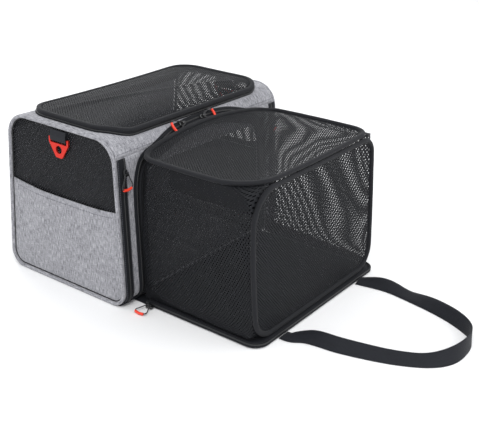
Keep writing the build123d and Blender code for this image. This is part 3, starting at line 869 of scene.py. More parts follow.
def make_shell():
    """Front, top, back and base panels with their lining, seams and topstitching."""
    cloth = [heather_polyester(), smooth_lining()]
    front = framed_panel("front_panel_cloth", passage_line(), at_height(BASE_SEAM), at_height(TOP_SEAM),
                         cloth)
    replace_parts(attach(front, "carrier"), "front_panel")
    top = framed_panel("top_panel_cloth", flap_line(-TAPE_WIDE), at_height(TOP_SEAM),
                       at_back_height(TOP_SEAM), cloth)
    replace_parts(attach(top, "carrier"), "top_panel")

    x = np.linspace(-SHELL_END, SHELL_END, 90)
    s = np.linspace(at_back_height(TOP_SEAM), at_back_height(BASE_SEAM), 60)
    grid_x, grid_s = np.meshgrid(x, s)
    seam = np.minimum(SHELL_END - np.abs(grid_x), np.minimum(grid_s - s[0], s[-1] - grid_s))
    back = sheet_mesh("back_panel_cloth", on_carrier(grid_x, grid_s, puckers(seam, grid_x + grid_s)),
                      np.stack([grid_x, grid_s], axis=-1), cloth, WALL, flip=True)
    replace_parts(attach(back, "carrier"), "back_panel")

    s = np.linspace(at_back_height(BASE_SEAM) - ROUND, at_height(BASE_SEAM), 70)
    grid_x, grid_s = np.meshgrid(x, s)
    base = sheet_mesh("base_panel_cloth", on_carrier(grid_x, grid_s, 0.0 * grid_x),
                      np.stack([grid_x, grid_s], axis=-1), [smooth_lining()], WALL, flip=True)
    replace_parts(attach(base, "carrier"), "base_panel")

    # The hinge cloth reaches a little under the cover, so that no light shows between them.
    hinge_y = np.linspace(-BASE_WIDTH / 2 + BASE_RADIUS, COVER_HINGE - 4.0, 12)
    hinge_x = np.linspace(-BAND_HALF, BAND_HALF, 40)
    grid_x, grid_y = np.meshgrid(hinge_x, hinge_y)
    flat = np.stack([grid_x, grid_y, np.full_like(grid_x, COVER_LOW - 0.25)], axis=-1)
    hinge = sheet_mesh("cover_hinge_cloth", flat, np.stack([grid_x, grid_y], axis=-1),
                       [smooth_lining()], 1.2, flip=True)
    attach(hinge, "carrier")

    span = np.linspace(-SHELL_END + 4, SHELL_END - 4, 120)
    for name, places in {
        "front_seam_stitches": at_height(TOP_SEAM + SEAM_ALLOWANCE),
        "back_seam_stitches": at_back_height(TOP_SEAM + SEAM_ALLOWANCE),
        "back_base_stitches": at_back_height(BASE_SEAM + SEAM_ALLOWANCE),
    }.items():
        seam_stitches(name, span, np.full_like(span, places))


# ---- Base and mat ----
def puffed(made, pressure, cap, voxel):
    """Fills a piece with cloth pressure: remeshed, simulated, and capped in how far it may swell."""
    remesh = made.modifiers.new("voxels", "REMESH")
    remesh.mode = "VOXEL"
    remesh.voxel_size = voxel * MM
    apply_modifiers(made)
    rest = np.array([v.co for v in made.data.vertices])
    cloth = made.modifiers.new("cloth", "CLOTH")
    cloth.settings.use_pressure = True
    cloth.settings.uniform_pressure_force = pressure
    cloth.settings.effector_weights.gravity = 0
    cloth.settings.quality = 5
    frames = 20
    cloth.point_cache.frame_start = 1
    cloth.point_cache.frame_end = frames
    for number in range(1, frames + 1):
        bpy.context.scene.frame_set(number)
    apply_modifiers(made)
    bpy.context.scene.frame_set(1)
    now = np.array([v.co for v in made.data.vertices])
    move = now - rest
    far = np.linalg.norm(move, axis=1, keepdims=True)
    now = rest + move * np.minimum(1, cap * MM / np.maximum(far, 1e-9))
    made.data.vertices.foreach_set("co", now.ravel())
    made.data.update()
    return made


def make_mat():
    """The plush mat on its board, filled by cloth pressure, with its quilting pulled in."""
    lowest, highest = low("plush_mat"), high("plush_mat")
    inset = 3.0
    outline = rounded_polygon(
        [(lowest[0] + inset, lowest[1] + inset), (highest[0] - inset, lowest[1] + inset),
         (highest[0] - inset, highest[1] - inset), (lowest[0] + inset, highest[1] - inset)], [16] * 4, 10,
    )
    outline = resample(outline, step=6.0, closed=True)
    levels = [(lowest[2] + 0.6, 6.0), (lowest[2] + 3.0, 1.5), (lowest[2] + 8.0, 0.0), (highest[2] - 3.0, 2.5),
              (highest[2] - 1.5, 8.0)]
    rings = [np.column_stack([outline * (1 - shrink / 100), np.full(len(outline), z)])
             for z, shrink in levels]
    faces = tube_faces(len(rings), len(outline))
    mat = mesh_object("plush_mat_pad", np.array(rings), faces, charcoal_plush())
    puffed(mat, pressure=4.0, cap=6.0, voxel=6.0)
    points = np.array([v.co for v in mat.data.vertices]) / MM
    quilt_lines, quilt_width, quilt_depth = (-130, 0, 130), 5.0, 4.0
    quilting = sum(np.exp(-((points[:, 0] - at) / quilt_width) ** 2) for at in quilt_lines)
    upper = ease((points[:, 2] - lowest[2] - 6) / 6)
    points[:, 2] -= quilt_depth * quilting * upper
    points[:, 2] = np.clip(points[:, 2], lowest[2] + 0.3, highest[2] + 4.0)
    mat.data.vertices.foreach_set("co", (points * MM).ravel())
    mat.data.materials.clear()
    mat.data.materials.append(charcoal_plush())
    mat.data.polygons.foreach_set("use_smooth", [True] * len(mat.data.polygons))
    mat.data.update()
    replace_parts(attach(mat, "carrier"), "plush_mat")
    dress("base_board", smooth_solid_board())


def smooth_solid_board():
    """Grey polyethylene foam board, extruded: dull and faintly pitted."""
    return plain_material("polyethylene_foam_board", to_linear("#3A3B40"), 2.0, 0.0002, roughness=0.85)


def dress(node, material):
    """Gives a CAD node's own object a better material."""
    made = frame["nodes"][node]
    made.data.materials.clear()
    made.data.materials.append(material)


# ---- End panels ----
def section_loop(inset, step=4.0):
    """The carrier's section in (y, z), moved inwards."""
    keep = resample(OUTLINE[:-1], step=step, closed=True)
    along = directions(keep, True)
    return keep - np.stack([-along[:, 1], along[:, 0]], axis=1) * inset


def pocket_edge(y):
    """Height of the pocket's upper edge, which hangs a little in its middle."""
    half = BASE_WIDTH / 2 - 14
    return POCKET_TOP + 1 - 5.5 * (1 - (y / half) ** 2)


def split_loop(loop, above, level):
    """The part of a closed (y, z) outline above or below a level line, as rows from side to side."""
    z0, z1 = loop[:, 1].min(), loop[:, 1].max()
    heights = np.linspace(level, z1 - 0.4, 46) if above else np.linspace(z0 + 0.4, level, 46)
    rows = []
    for z in heights:
        sides = []
        for a, b in zip(loop, np.roll(loop, -1, axis=0)):
            if (a[1] - z) * (b[1] - z) <= 0 and a[1] != b[1]:
                sides.append(a[0] + (b[0] - a[0]) * (z - a[1]) / (b[1] - a[1]))
        rows.append((z, min(sides), max(sides)))
    return rows


def end_face(rows, columns, lift, edge=None):
    """A grid over part of an end: x stands out by lift(y, z)."""
    grid = np.zeros((len(rows), columns, 3))
    for i, (z, y0, y1) in enumerate(rows):
        share = i / (len(rows) - 1)
        for j, y in enumerate(np.linspace(y0, y1, columns)):
            height = z if edge is None else z + (edge(y) - rows[-1][0]) * ease((share - 0.4) / 0.6)
            grid[i, j] = (lift(y, height), y, height)
    return grid


def make_end(name, side):
    """One end: lower cloth, net window, pocket, piping, tab and ring."""
    outwards = np.array([side, 0.0, 0.0])
    radius = sizes().piping_radius / MM
    inner = section_loop(1.0)
    net_line = section_loop(radius + 0.8)

    def plate_lift(y, z):
        return side * (END_FACE - 0.5 + 0.8 * math.sin(y / 37) * math.sin(z / 41))

    lower = end_face(split_loop(inner, False, 150.0), 60, plate_lift)
    plate = sheet_mesh(f"end_panel_cloth_{name}", lower, lower[..., 1:],
                       [heather_polyester(), smooth_lining()], 2.4, flip=side < 0)
    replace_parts(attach(plate, "carrier"), f"end_panel_{name}")

    def net_lift(y, z):
        slack = (1 - min(1, (y / 115) ** 2)) * math.sin(math.pi * min(1, max(0, (z - 140) / 138)))
        return side * (END_FACE - 1.2 + 1.6 * slack)

    window = end_face(split_loop(net_line, True, 140.0), 60, net_lift)
    net = sheet_mesh(f"end_window_net_{name}", window, window[..., 1:], knitted_net())
    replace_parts(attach(net, "carrier"), f"end_net_{name}")
    stretched_net(window[..., 1:])

    def pocket_lift(y, z):
        half = BASE_WIDTH / 2 - 14
        rim = (1 - min(1, (abs(y) / half) ** 4)) * ease((z - 6) / 22)
        fold = 0.9 * math.sin(y / 23 + z / 60) * math.sin(z / 34) * rim
        gather = 0.35 * math.exp(-z / 12) * math.sin(y * 2 * math.pi / 14)
        return side * (END_FACE + 1.2 + 3.4 * rim * ease(z / POCKET_TOP) + fold + gather)

    pocket_rows = split_loop(section_loop(2 * radius - 0.6), False, POCKET_TOP)
    cloth = end_face(pocket_rows, 80, pocket_lift, pocket_edge)
    pocket = sheet_mesh(f"end_pocket_cloth_{name}", cloth, cloth[..., 1:],
                        [heather_polyester(), smooth_lining()], 1.6, flip=side < 0)
    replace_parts(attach(pocket, "carrier"), f"end_pocket_{name}")
    hem = cloth[-1] - (0, 0, 9)
    hem[:, 0] = [pocket_lift(y, z) + 0.2 * side for _, y, z in hem]
    hem = hem[3:-3]
    stitches(f"end_pocket_hem_stitches_{name}", hem, np.tile(outwards, (len(hem), 1)), "carrier")

    fine_step = 3.0
    loop = section_loop(radius, fine_step)
    path = np.column_stack([np.full(len(loop), side * (END_FACE + radius)), loop])
    wobble = 1 + 0.02 * np.sin(np.arange(len(path)) * 0.9)
    piping = swept(f"end_piping_roll_{name}", path, round_section(radius, 1.0, 18), outwards,
                   heather_polyester(), closed=True, scale=wobble)
    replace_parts(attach(piping, "carrier"), f"end_piping_{name}", "end_wires")
    # A thin black roll laid round the end beside the piping is a painted shadow line: it stands for the shade
    # in the groove between the piping and the panel.
    painted_shadow_loop = section_loop(2 * radius + 0.6, fine_step)
    seam = np.column_stack([np.full(len(painted_shadow_loop), side * (END_FACE + 0.9)), painted_shadow_loop])
    painted_seam_shadow = swept(f"end_piping_painted_shadow_{name}", seam, round_section(1.3, 0.6, 8), outwards, dark_thread(),
                   closed=True)
    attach(painted_seam_shadow, "carrier")
    make_ring_tab(name, side)


def make_ring_tab(name, side):
    """Webbing folded round the strap ring's bar, with a row of stitching above."""
    bar_x, bar_z = RING_BAR_X, RING_BAR_Z
    radius = 2.7
    half_thick = 0.7
    turn = np.linspace(0, math.pi, 13)
    top = high(f"ring_tab_{name}")[2]
    outer = bar_x + radius
    inner = bar_x - radius
    down = [(outer - 1.6, top), (outer - 0.6, top - 5), (outer, bar_z + 5), (outer, bar_z)]
    bend = [(bar_x + radius * math.cos(t), bar_z - radius * math.sin(t)) for t in turn[1:-1]]
    rise = [(inner, bar_z), (inner, bar_z + 5), (inner + 0.2, top - 5), (inner + 0.4, top)]
    line = resample(np.array(down + bend + rise), step=1.0)
    path = np.column_stack([side * line[:, 0], np.zeros(len(line)), line[:, 1]])
    half_width = high(f"ring_tab_{name}")[1]
    section = [(-half_thick, -half_width), (-half_thick, half_width), (half_thick, half_width),
               (half_thick, -half_width)]
    grid = swept_grid(path, section, np.array([0.0, 1.0, 0.0]))
    tab = mesh_object(f"ring_tab_webbing_{name}", grid, tube_faces(*grid.shape[:2]), ribbed_webbing(),
                      ring_uv(grid), smooth=False)
    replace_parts(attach(tab, "carrier"), f"ring_tab_{name}")
    y = np.linspace(-half_width + 2, half_width - 2, 20)
    row = np.column_stack([np.full(20, side * (outer + 0.1)), y, np.full(20, top - 9)])
    stitches(f"ring_tab_stitches_{name}", row, np.tile([side, 0, 0], (20, 1)), "carrier", dark_thread())
    dress(f"strap_ring_{name}", anodised_aluminium())


def stretched_net(flat):
    """Takes a net's flat places, in millimetres, as rows of two; nothing more is done with them."""
    flat = np.asarray(flat, float).reshape(-1, 2)


# ---- Top flap ----
def make_flap():
    """The zip round the top opening and the net flap in its wired binding."""
    half = TAPE_WIDE / 2
    tape_section = [(-half - 1, 0.1), (-half - 1, TAPE), (half, TAPE + 0.2), (half, 0.1)]
    tape = carrier_band("top_zip_tape_ring", flap_line(-half - 1), tape_section, zip_tape(), closed=True)
    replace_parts(tape, "top_zip_tape")
    own = carrier_band("flap_zip_tape_ring", flap_line(-7.5),
                       [(-4.5, TAPE + 0.5), (-4.5, TAPE + 1.7), (4.5, TAPE + 1.9), (4.5, TAPE + 0.5)],
                       zip_tape(), closed=True, body="top_flap")
    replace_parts(own, "flap_zip_tape")
    line = flap_line(-3.2)
    coil("top_zip_coil", on_carrier(line[:, 0], line[:, 1], TAPE + 1.0), normal_at(line[:, 1]), "carrier",
         closed=True)

    # A wall of doubled tape stands up from the zip and rolls over the rim wire.
    wall = [(3.6, 1.9), (4.2, 4.0), (4.0, 6.5), (2.6, 8.8), (0, 9.8), (-2.8, 9.0), (-4.6, 6.6), (-5.0, 4.4),
            (-4.0, 2.6), (0, 1.9)]
    rim = carrier_band("flap_binding_roll", flap_line(-7.2), wall, folded_binding(), closed=True,
                       body="top_flap")
    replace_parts(rim, "flap_binding")
    for number, growth in ((1, -4.2), (2, -11.2)):
        line = flap_line(growth)
        line = np.vstack([line, line[:1]])
        stitches(f"flap_binding_stitches_{number}", on_carrier(line[:, 0], line[:, 1], 8.0),
                 normal_at(line[:, 1]), "top_flap", dark_thread())

    middle = np.array([0.0, at_depth((FLAP_FRONT + FLAP_BACK) / 2)])
    flat, shares = shrinking_rings(flap_line(-10.5), middle, NET_RINGS)
    edge_height = 7.2
    crown = sizes().flap_crown / MM
    x, s = flat[..., 0], flat[..., 1]
    rise = edge_height + crown * (1 - shares ** 2.2) + 0.5 * np.sin(x / 31) * np.sin(s / 27) * (1 - shares)
    # A slack fold runs from the middle towards the right-hand front corner.
    fold = 1.6 * np.exp(-(((x - 40) * 0.35 + (s - middle[1] + 25)) / 7) ** 2) * (1 - shares ** 4)
    grid = on_carrier(x, s, rise + fold)
    net = sheet_mesh("flap_net_panel", grid, flat, knitted_net(), ring_columns=True, capped=True)
    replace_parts(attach(net, "top_flap"), "flap_net")
    stretched_net(flat)


# ---- Front face ----
def make_corner_zips():
    """The zip strips down both front corners."""
    made = []
    count = 90
    for name, side in SIDES.items():
        s = np.linspace(at_height(BASE_SEAM + 1), at_height(TOP_SEAM - 1), count)
        heights = np.linspace(BASE_SEAM + 1, TOP_SEAM - 1, count)
        path = np.column_stack([np.full(count, side * CORNER_ZIP), s])
        section = [(-9, 0.2), (-9, 1.1), (-5, 2.0), (-1.2, TAPE + 0.6), (1.2, TAPE + 0.6), (5, 2.0), (9, 1.1),
                   (9, 0.2)]
        strip = carrier_band(f"corner_zip_tape_{name}", path, section, zip_tape())
        made.append(strip)
        # The coil drifts towards the middle of the front at its upper end.
        drift = -side * 5.0 * ease((heights - 190) / 40)
        x = side * CORNER_ZIP + drift
        line = on_carrier(x, s, TAPE + 0.9)
        coil(f"corner_zip_coil_{name}", line, normal_at(s), "carrier")
        for number, across in ((1, -7.6), (2, 7.6)):
            row = np.full(count, side * CORNER_ZIP + across)
            seam_stitches(f"corner_zip_stitches_{name}_{number}", row, s, 1.4)
    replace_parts(made[0], "corner_zip_tapes")


def band_line(half, foot, crown, shoulder):
    """A line up one side of the passage, over its arch and down the other, in (x, arc length).

    half is half its width; foot, crown and shoulder are heights.
    """
    points = [(-half, foot), (-half, 90), (-half, 165), (-half + 3, 205), (-half + 17, shoulder - 10),
              (-half + 48, shoulder + 1), (-half + 100, crown - 4), (0, crown)]
    points += [(-x, z) for x, z in points[-2::-1]]
    line = smooth_path(points, 4.0)
    return np.stack([line[:, 0], at_height(line[:, 1])], axis=1)


def make_band():
    """The zip tape and the ribbed binding that the tent is sewn and zipped to."""
    tape_line = band_line(169.5, 11, 266, 247)
    section = [(-7, 0.2), (-7, 1.6), (-2, TAPE + 0.6), (2, TAPE + 0.6), (7, 1.6), (7, 0.2)]
    tape = carrier_band("expansion_zip_tape_band", tape_line, section, zip_tape())
    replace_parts(tape, "expansion_zip_tape")
    coil("expansion_zip_coil", on_carrier(tape_line[:, 0], tape_line[:, 1], TAPE + 0.3),
         normal_at(tape_line[:, 1]), "carrier")
    bind_line = band_line(157.5, 10, 257, 238)
    ribs = [(-7.5, 0.3), (-7.2, 3.2), (-5.4, 4.2), (-3.0, 3.7), (-0.2, 4.6), (2.6, 3.8), (5.0, 4.3),
            (7.0, 3.0), (7.5, 0.3)]
    binding = carrier_band("passage_binding_band", bind_line, ribs, folded_binding())
    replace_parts(binding, "passage_binding")
    for number, half, crown, out in ((1, 154.4, 254, 3.9), (2, 160.2, 259.5, 4.1)):
        line = band_line(half, 12, crown, crown - 19)
        stitches(f"passage_binding_stitches_{number}", on_carrier(line[:, 0], line[:, 1], out),
                 normal_at(line[:, 1]), "carrier", dark_thread())


# ---- Tent ----
ROOF_LENGTH = 226.0
ROOF_CORNERS = (34, 58, 30, 34)
HOOP_CORNERS = (34, 40, 26, 50)
WIRE_BOW_LEFT, WIRE_BOW_RIGHT = 6.0, 2.0
NET_INSET = 3.0


def roof_edge_height(x):
    """Height of the roof's edge where it meets the carrier, arched over the passage."""
    spring, rise, half_span = 246, 13, 158
    return spring + rise * np.clip(1 - (x / half_span) ** 2, 0, 1)


def bowed(x, share):
    """x moved outwards where the tent's wires bow. share runs from 0 to 1 along the wire."""
    bow = np.where(x < 0, WIRE_BOW_LEFT, WIRE_BOW_RIGHT) * np.sin(math.pi * np.clip(share, 0, 1))
    return x + np.sign(x) * bow * (np.abs(x) / TENT_HALF) ** 2


def on_roof(x, depth, lift=0.0):
    """A point of the tent's roof. depth runs from 0 at the carrier to 1 at the tent's end."""
    back_z = roof_edge_height(x)
    back = on_carrier(x, at_height(back_z), 8.0)
    front_y = ROOF_END + 6 + 6 * (x / TENT_HALF) ** 2
    y = back[..., 1] * (1 - depth) + front_y * depth
    z = back[..., 2] * (1 - depth) ** 2 + ROOF_HEIGHT * (1 - (1 - depth) ** 2)
    return np.stack([bowed(x, depth), y, z + lift], axis=-1)


def roof_loop(inset=0.0, step=4.0):
    """The roof's outline in (x, depth), all corners rounded."""
    half = TENT_HALF - 4 - inset
    far = ROOF_LENGTH - inset
    line = rounded_polygon([(-half, inset), (-half, far), (half, far), (half, inset)],
                           [corner - inset for corner in ROOF_CORNERS], 18)
    line = resample(line, step=step, closed=True)
    return line[:, 0], line[:, 1] / ROOF_LENGTH


def on_hoop(x, rise, out=0.0):
    """A point of the tent's end. rise runs from 0 at its foot to 1 at its head."""
    y = HOOP_FOOT + (HOOP_HEAD - HOOP_FOOT) * rise
    z = HOOP_LOW + (HOOP_HIGH - HOOP_LOW) * rise
    return np.stack([bowed(x, rise), y - out, z], axis=-1)


def hoop_loop(inset=0.0, step=4.0):
    """The end's outline in (x, rise), all corners rounded."""
    half = TENT_HALF - 4 - inset
    tall = HOOP_HIGH - HOOP_LOW
    high_edge = tall - inset
    line = rounded_polygon([(-half, inset), (half, inset), (half, high_edge), (-half, high_edge)],
                           [corner - inset for corner in HOOP_CORNERS], 18)
    line = resample(line, step=step, closed=True)
    return line[:, 0], line[:, 1] / tall


def folding(made, slot):
    """Roof and side pieces stay on the carrier."""
    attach(made, "carrier")
    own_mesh(made)
    return made


def on_end_body(made, slot):
    """End pieces ride on the hoop."""
    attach(made, "tent_end")
    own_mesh(made)
    return made


def edge_roll(name, loop, up):
    """A folded binding over a spring wire: a slightly flattened roll."""
    half_width, half_height = 4.5, 3.7
    turns = np.linspace(0, 2 * math.pi, 16, endpoint=False)
    section = [(half_width * math.cos(turn), half_height * math.sin(turn)) for turn in turns]
    wobble = 1 + 0.03 * np.sin(np.arange(len(loop)) * 0.7) * np.sin(np.arange(len(loop)) * 0.23)
    return swept(name, loop, section, up, folded_binding(), closed=True, scale=wobble)


def disc_net(name, place, loop_at, sag):
    """A net stretched inside a loop, in rings that shrink to its middle."""
    rings, shares = shrinking_rings(np.column_stack(loop_at(NET_INSET)), np.array([0.0, 0.5]), NET_RINGS)
    x, depth = rings[..., 0], rings[..., 1]
    slack = (1 - shares ** 2) * (1 + 0.12 * np.sin(x / 26) * np.sin(depth * 11))
    flat = np.stack([x, depth * TENT_CLOTH], axis=-1)
    grid = place(x, depth, sag * slack)
    return sheet_mesh(name, grid, flat, knitted_net(), ring_columns=True, capped=True), flat


def make_wired_net(name, place, loop_at, up, sag, body, settle):
    """A tent net in its wired and stitched binding. settle puts a piece on its body."""
    net, flat = disc_net(f"{name}_net_panel", place, loop_at, sag)
    stretched_net(flat)
    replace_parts(settle(net, "polyester_net"), f"{name}_net")
    roll = edge_roll(f"{name}_binding_roll", place(*loop_at()), np.array(up))
    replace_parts(settle(roll, "binding"), f"{name}_binding", f"{name}_wire")
    seam_in, seam_out = 2.2, 3.3
    line = place(*loop_at(seam_in), seam_out)
    line = np.vstack([line, line[:1]])
    settle(stitches(f"{name}_stitches", line, np.tile(up, (len(line), 1)), body, dark_thread()), "binding")


def make_roof():
    """The tent's roof net in its wired binding."""
    sag = sizes().roof_sag / MM
    make_wired_net("tent_roof", on_roof, roof_loop, (0.0, 0.0, 1.0), -sag, "carrier", folding)


def make_end_net():
    """The tent's end net in its wired binding."""
    make_wired_net("tent_end", on_hoop, hoop_loop, (0.0, -1.0, 0.0), 0.8, "tent_end", on_end_body)


def coons(bottom, top, left, right):
    """A surface that fills four edges. bottom and top share a count, and so do left and right."""
    u = np.linspace(0, 1, len(bottom))[None, :, None]
    v = np.linspace(0, 1, len(left))[:, None, None]
    ruled = (1 - v) * bottom[None] + v * top[None]
    across = (1 - u) * left[:, None] + u * right[:, None]
    corners = ((1 - u) * (1 - v) * bottom[0] + u * (1 - v) * bottom[-1]
               + (1 - u) * v * top[0] + u * v * top[-1])
    return ruled + across - corners


def side_edges(side):
    """The four edges of a side net: on the cover, under the roof, on the carrier, on the hoop."""
    corner_reach = TENT_HALF - 64
    carrier_face = -(BASE_WIDTH / 2 + 5)
    x, depth = roof_loop(0.0, 2.0)
    mine = on_roof(x, depth)[(np.sign(x) == side) & (np.abs(x) > corner_reach) & (depth < 0.999)]
    # From the carrier outwards, ending where the roof's front meets the hoop's head.
    inwards = TENT_HALF - np.abs(mine[:, 0])
    mine = mine[np.argsort(-mine[:, 1] + 0.4 * inwards * (mine[:, 1] < -250))]
    mine = mine[mine[:, 1] < -128]
    x, rise = hoop_loop(0.0, 2.0)
    mast = on_hoop(x, rise)[(np.sign(x) == side) & (np.abs(x) > corner_reach)]
    inwards = TENT_HALF - np.abs(mast[:, 0])
    mast = mast[np.argsort(mast[:, 2] - 0.4 * inwards * np.where(mast[:, 2] > 120, -1, 1))]
    top = resample(mine - (0, 0, 3.0), count=70)
    front = resample(mast + (0, 2.5, 0), count=60)
    top[-1] = front[-1]
    floor = COVER_TOP + 1.0
    foot = np.array([front[0][0], HOOP_FOOT + 2.5, floor])
    front[0] = foot
    hip = np.array([side * (TENT_HALF - 3), HOOP_FOOT + 34, floor])
    heel = np.array([side * (TENT_HALF - 3), carrier_face, floor])
    toe = (side * (TENT_HALF - 14), HOOP_FOOT + 10, floor)
    bottom = resample(smooth_path([heel, (heel + hip) / 2, hip, toe, foot], 2.0), count=70)
    left = resample(np.array([heel, (heel[0], carrier_face + 6.5, 120), top[0]]), count=60)
    return bottom, top, left, front


def make_sides():
    """The tent's two side nets, with a strip of lining along the floor."""
    for name, side in SIDES.items():
        grid = coons(*side_edges(side))
        grid[..., 0] = np.clip(grid[..., 0], -TENT_HALF - 1, TENT_HALF + 1)
        rows, columns = grid.shape[:2]
        v = np.linspace(0, 1, rows)[:, None]
        u = np.linspace(0, 1, columns)[None]
        middle = np.sin(math.pi * v) * np.sin(math.pi * u)
        belly = (1.5 if side > 0 else 2.5) * middle
        tension = 1.4 * np.sin((u * 3.2 + v * 2.1) * math.pi * 1.7) * middle
        grid[..., 0] += side * (belly + tension)
        lengths = travelled(grid[rows // 2])
        flat = np.stack(np.broadcast_arrays(lengths[None], v * SIDE_CLOTH), axis=-1)
        net = sheet_mesh(f"tent_side_net_{name}", grid, flat, knitted_net(), flip=side > 0)
        stretched_net(flat)
        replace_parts(folding(net, "polyester_net"), f"tent_side_{name}")
        strip_share = 0.095
        strip_rows = 8
        index = np.linspace(0, strip_share * (rows - 1), strip_rows)
        strip = np.stack([
            (1 - (i % 1)) * grid[int(i)] + (i % 1) * grid[min(int(i) + 1, rows - 1)] for i in index
        ])
        strip = strip - (side * 0.8, 0, 0)
        uv = np.stack(np.broadcast_arrays(lengths[None], (index / (rows - 1) * SIDE_CLOTH)[:, None]), axis=-1)
        hem = sheet_mesh(f"tent_side_skirt_{name}", strip, uv, [smooth_lining()], 0.6, flip=side > 0)
        folding(hem, "lining")


# ---- Cover ----
def cover_plan(inset):
    """The cover's open outline in (x, y), from its hinge round its three free edges."""
    half = COVER_HALF - inset
    end = COVER_END + inset
    corner = 24 - inset
    line = rounded_polygon([(-half, COVER_HINGE), (-half, end), (half, end), (half, COVER_HINGE)],
                           [0, corner, corner, 0])
    return resample(line, step=4.0)


def cover_sheet(name, inset, height, thickness, materials):
    """One layer of the cover."""
    line = cover_plan(inset)
    middle = np.array([0.0, (COVER_HINGE + COVER_END) / 2])
    closed = np.vstack([line, resample(np.array([line[-1], line[0]]), count=90)[1:-1]])
    flat, shares = shrinking_rings(closed, middle, 20)
    x, y = flat[..., 0], flat[..., 1]
    ripple = 0.25 * np.sin(x / 29 + y / 41) * np.sin(y / 23) * (1 - shares ** 6)
    grid = np.stack([x, y, height + ripple], axis=-1)
    made = sheet_mesh(name, grid, flat, materials, thickness, ring_columns=True, capped=True)
    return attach(made, "cover")


def make_cover():
    """The fold-up cover that lies as the tent's floor."""
    outer = cover_sheet("cover_outer_cloth", 1.0, COVER_LOW + 1.4, 1.2, [heather_polyester()])
    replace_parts(outer, "cover_fabric")
    lining = cover_sheet("cover_lining_sheet", 3.0, COVER_TOP - 0.3, 1.0, [smooth_lining()])
    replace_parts(lining, "cover_lining")
    dress("cover_board", smooth_solid_board())

    line = cover_plan(2.4)
    base = COVER_LOW
    crest = COVER_RIM_TOP - base - 7
    section = [(-2.2, 0.2), (-2.6, 2.0), (-1.8, 4.4), (-1.1, crest), (0.6, crest), (1.4, 4.4), (2.6, 2.4),
               (2.2, 0.2)]
    path = np.column_stack([line, np.full(len(line), base)])
    rim = swept("cover_rim_binding", path, section, np.array([0.0, 0.0, 1.0]), zip_tape())
    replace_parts(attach(rim, "cover"), "cover_rim")
    top = np.column_stack([resample(cover_plan(0.8), count=len(line)), np.full(len(line), base + 4.6)])
    outward = unit(np.column_stack([top[:, 0], top[:, 1] - COVER_HINGE, np.zeros(len(top))]))
    coil("cover_zip_coil", top, outward, "cover", half_width=1.6, height=1.1)


# ---- Handles ----
def patch_block(name, centre, across, along, out, body):
    """The sewn end of a handle: webbing with a box and a cross of stitching."""
    path = np.array([centre + along * t for t in np.linspace(-PATCH_LENGTH / 2, PATCH_LENGTH / 2, 14)])
    made = swept(name, path, strap_section(2 * PATCH_HALF, HANDLE_THICK), out, ribbed_webbing())
    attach(made, body)
    corners = [(-1, -1), (1, -1), (1, 1), (-1, 1), (-1, -1), (1, 1), (1, -1), (-1, 1)]
    right = across * (PATCH_HALF - 2.4)
    ahead = along * (PATCH_LENGTH / 2 - 3)
    line = [centre + right * a + ahead * b + out * 0.85 for a, b in corners]
    line = resample(np.array(line), step=2.0)
    stitches(f"{name}_stitches", line, np.tile(out, (len(line), 1)), body, sewing_thread(), radius=0.35)
    return made


def make_front_handle():
    """The webbing loop on the cover, lying and twisting on the ground."""
    start = COVER_END - 0.8
    half = FRONT_HANDLE_HALF
    points = [(-half, start), (-half + 1, start - 14), (-half + 12, start - 36), (-half + 18, start - 88),
              (-half + 45, start - 168), (-half + 78, start - 219), (-half + 118, start - 238),
              (half - 60, start - 232), (half - 26, start - 190), (half - 4, start - 128),
              (half + 7, start - 72), (half + 4, start - 26), (half, start)]
    plan = smooth_path(points, 3.0)
    share = np.linspace(0, 1, len(plan))
    # How far the webbing has rolled onto its edge along the loop, in degrees.
    turns = [(0.0, 0), (0.035, 4), (0.07, 30), (0.10, 52), (0.16, 44), (0.28, 30), (0.38, 26), (0.44, 48),
             (0.49, 70), (0.56, 84), (0.62, 108), (0.69, 126), (0.76, 138), (0.82, 162), (0.86, 172),
             (0.91, 140), (0.95, 150), (1.0, 180)]
    lean = np.interp(share, [t for t, _ in turns], [a for _, a in turns])
    lean = np.convolve(np.pad(lean, 6, mode="edge"), np.ones(13) / 13, "valid")
    flat_height = 0.9
    rise = flat_height + (HANDLE_WIDE / 2 - flat_height) * np.sin(np.radians(np.abs(lean)))
    path = np.column_stack([plan, rise])
    section = strap_section(HANDLE_WIDE, HANDLE_THICK)
    loop = swept("front_handle_webbing", path, section, np.array([0.0, 0.0, 1.0]), ribbed_webbing(),
                 lean=-lean)
    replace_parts(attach(loop, "front_handle"), "front_handle")
    made = []
    for name, side in SIDES.items():
        centre = np.array([side * half, COVER_END + 21.0, 0.95])
        made.append(patch_block(f"front_handle_patch_{name}", centre, np.array([1.0, 0, 0]),
                                np.array([0, 1.0, 0]), np.array([0, 0, 1.0]), "cover"))
    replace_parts(made[0], "front_handle_patches")


def make_rear_handle():
    """The webbing loop that hangs on the back."""
    top = high("rear_handle")[2]
    lowest = low("rear_handle")[2] + HANDLE_WIDE / 2
    half = REAR_HANDLE_HALF
    points = [(-half, top), (-half, top - 40), (-half, top - 95), (-half + 10, lowest + 42),
              (-half + 42, lowest + 8), (0, lowest), (half - 42, lowest + 8), (half - 10, lowest + 42),
              (half, top - 95), (half, top - 40), (half, top)]
    plan = smooth_path(points, 3.0)
    s = at_back_height(plan[:, 1])
    bow = 3.0 + 3.0 * ease((top - plan[:, 1]) / 90)
    path = on_carrier(plan[:, 0], s, bow + settling(plan[:, 0], s) + 1.2)
    ups = normal_at(s)
    loop = swept("rear_handle_webbing", path, strap_section(HANDLE_WIDE, HANDLE_THICK), ups, ribbed_webbing())
    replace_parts(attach(loop, "rear_handle"), "rear_handle")
    made = []
    for name, side in SIDES.items():
        s = at_back_height(top - 19.5)
        out = normal_at(np.array([s]))[0]
        centre = on_carrier(side * half, s, 1.0)
        across = np.array([1.0, 0, 0])
        made.append(patch_block(f"rear_handle_patch_{name}", centre, across, np.cross(out, across), out,
                                "carrier"))
    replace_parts(made[0], "rear_handle_patches")


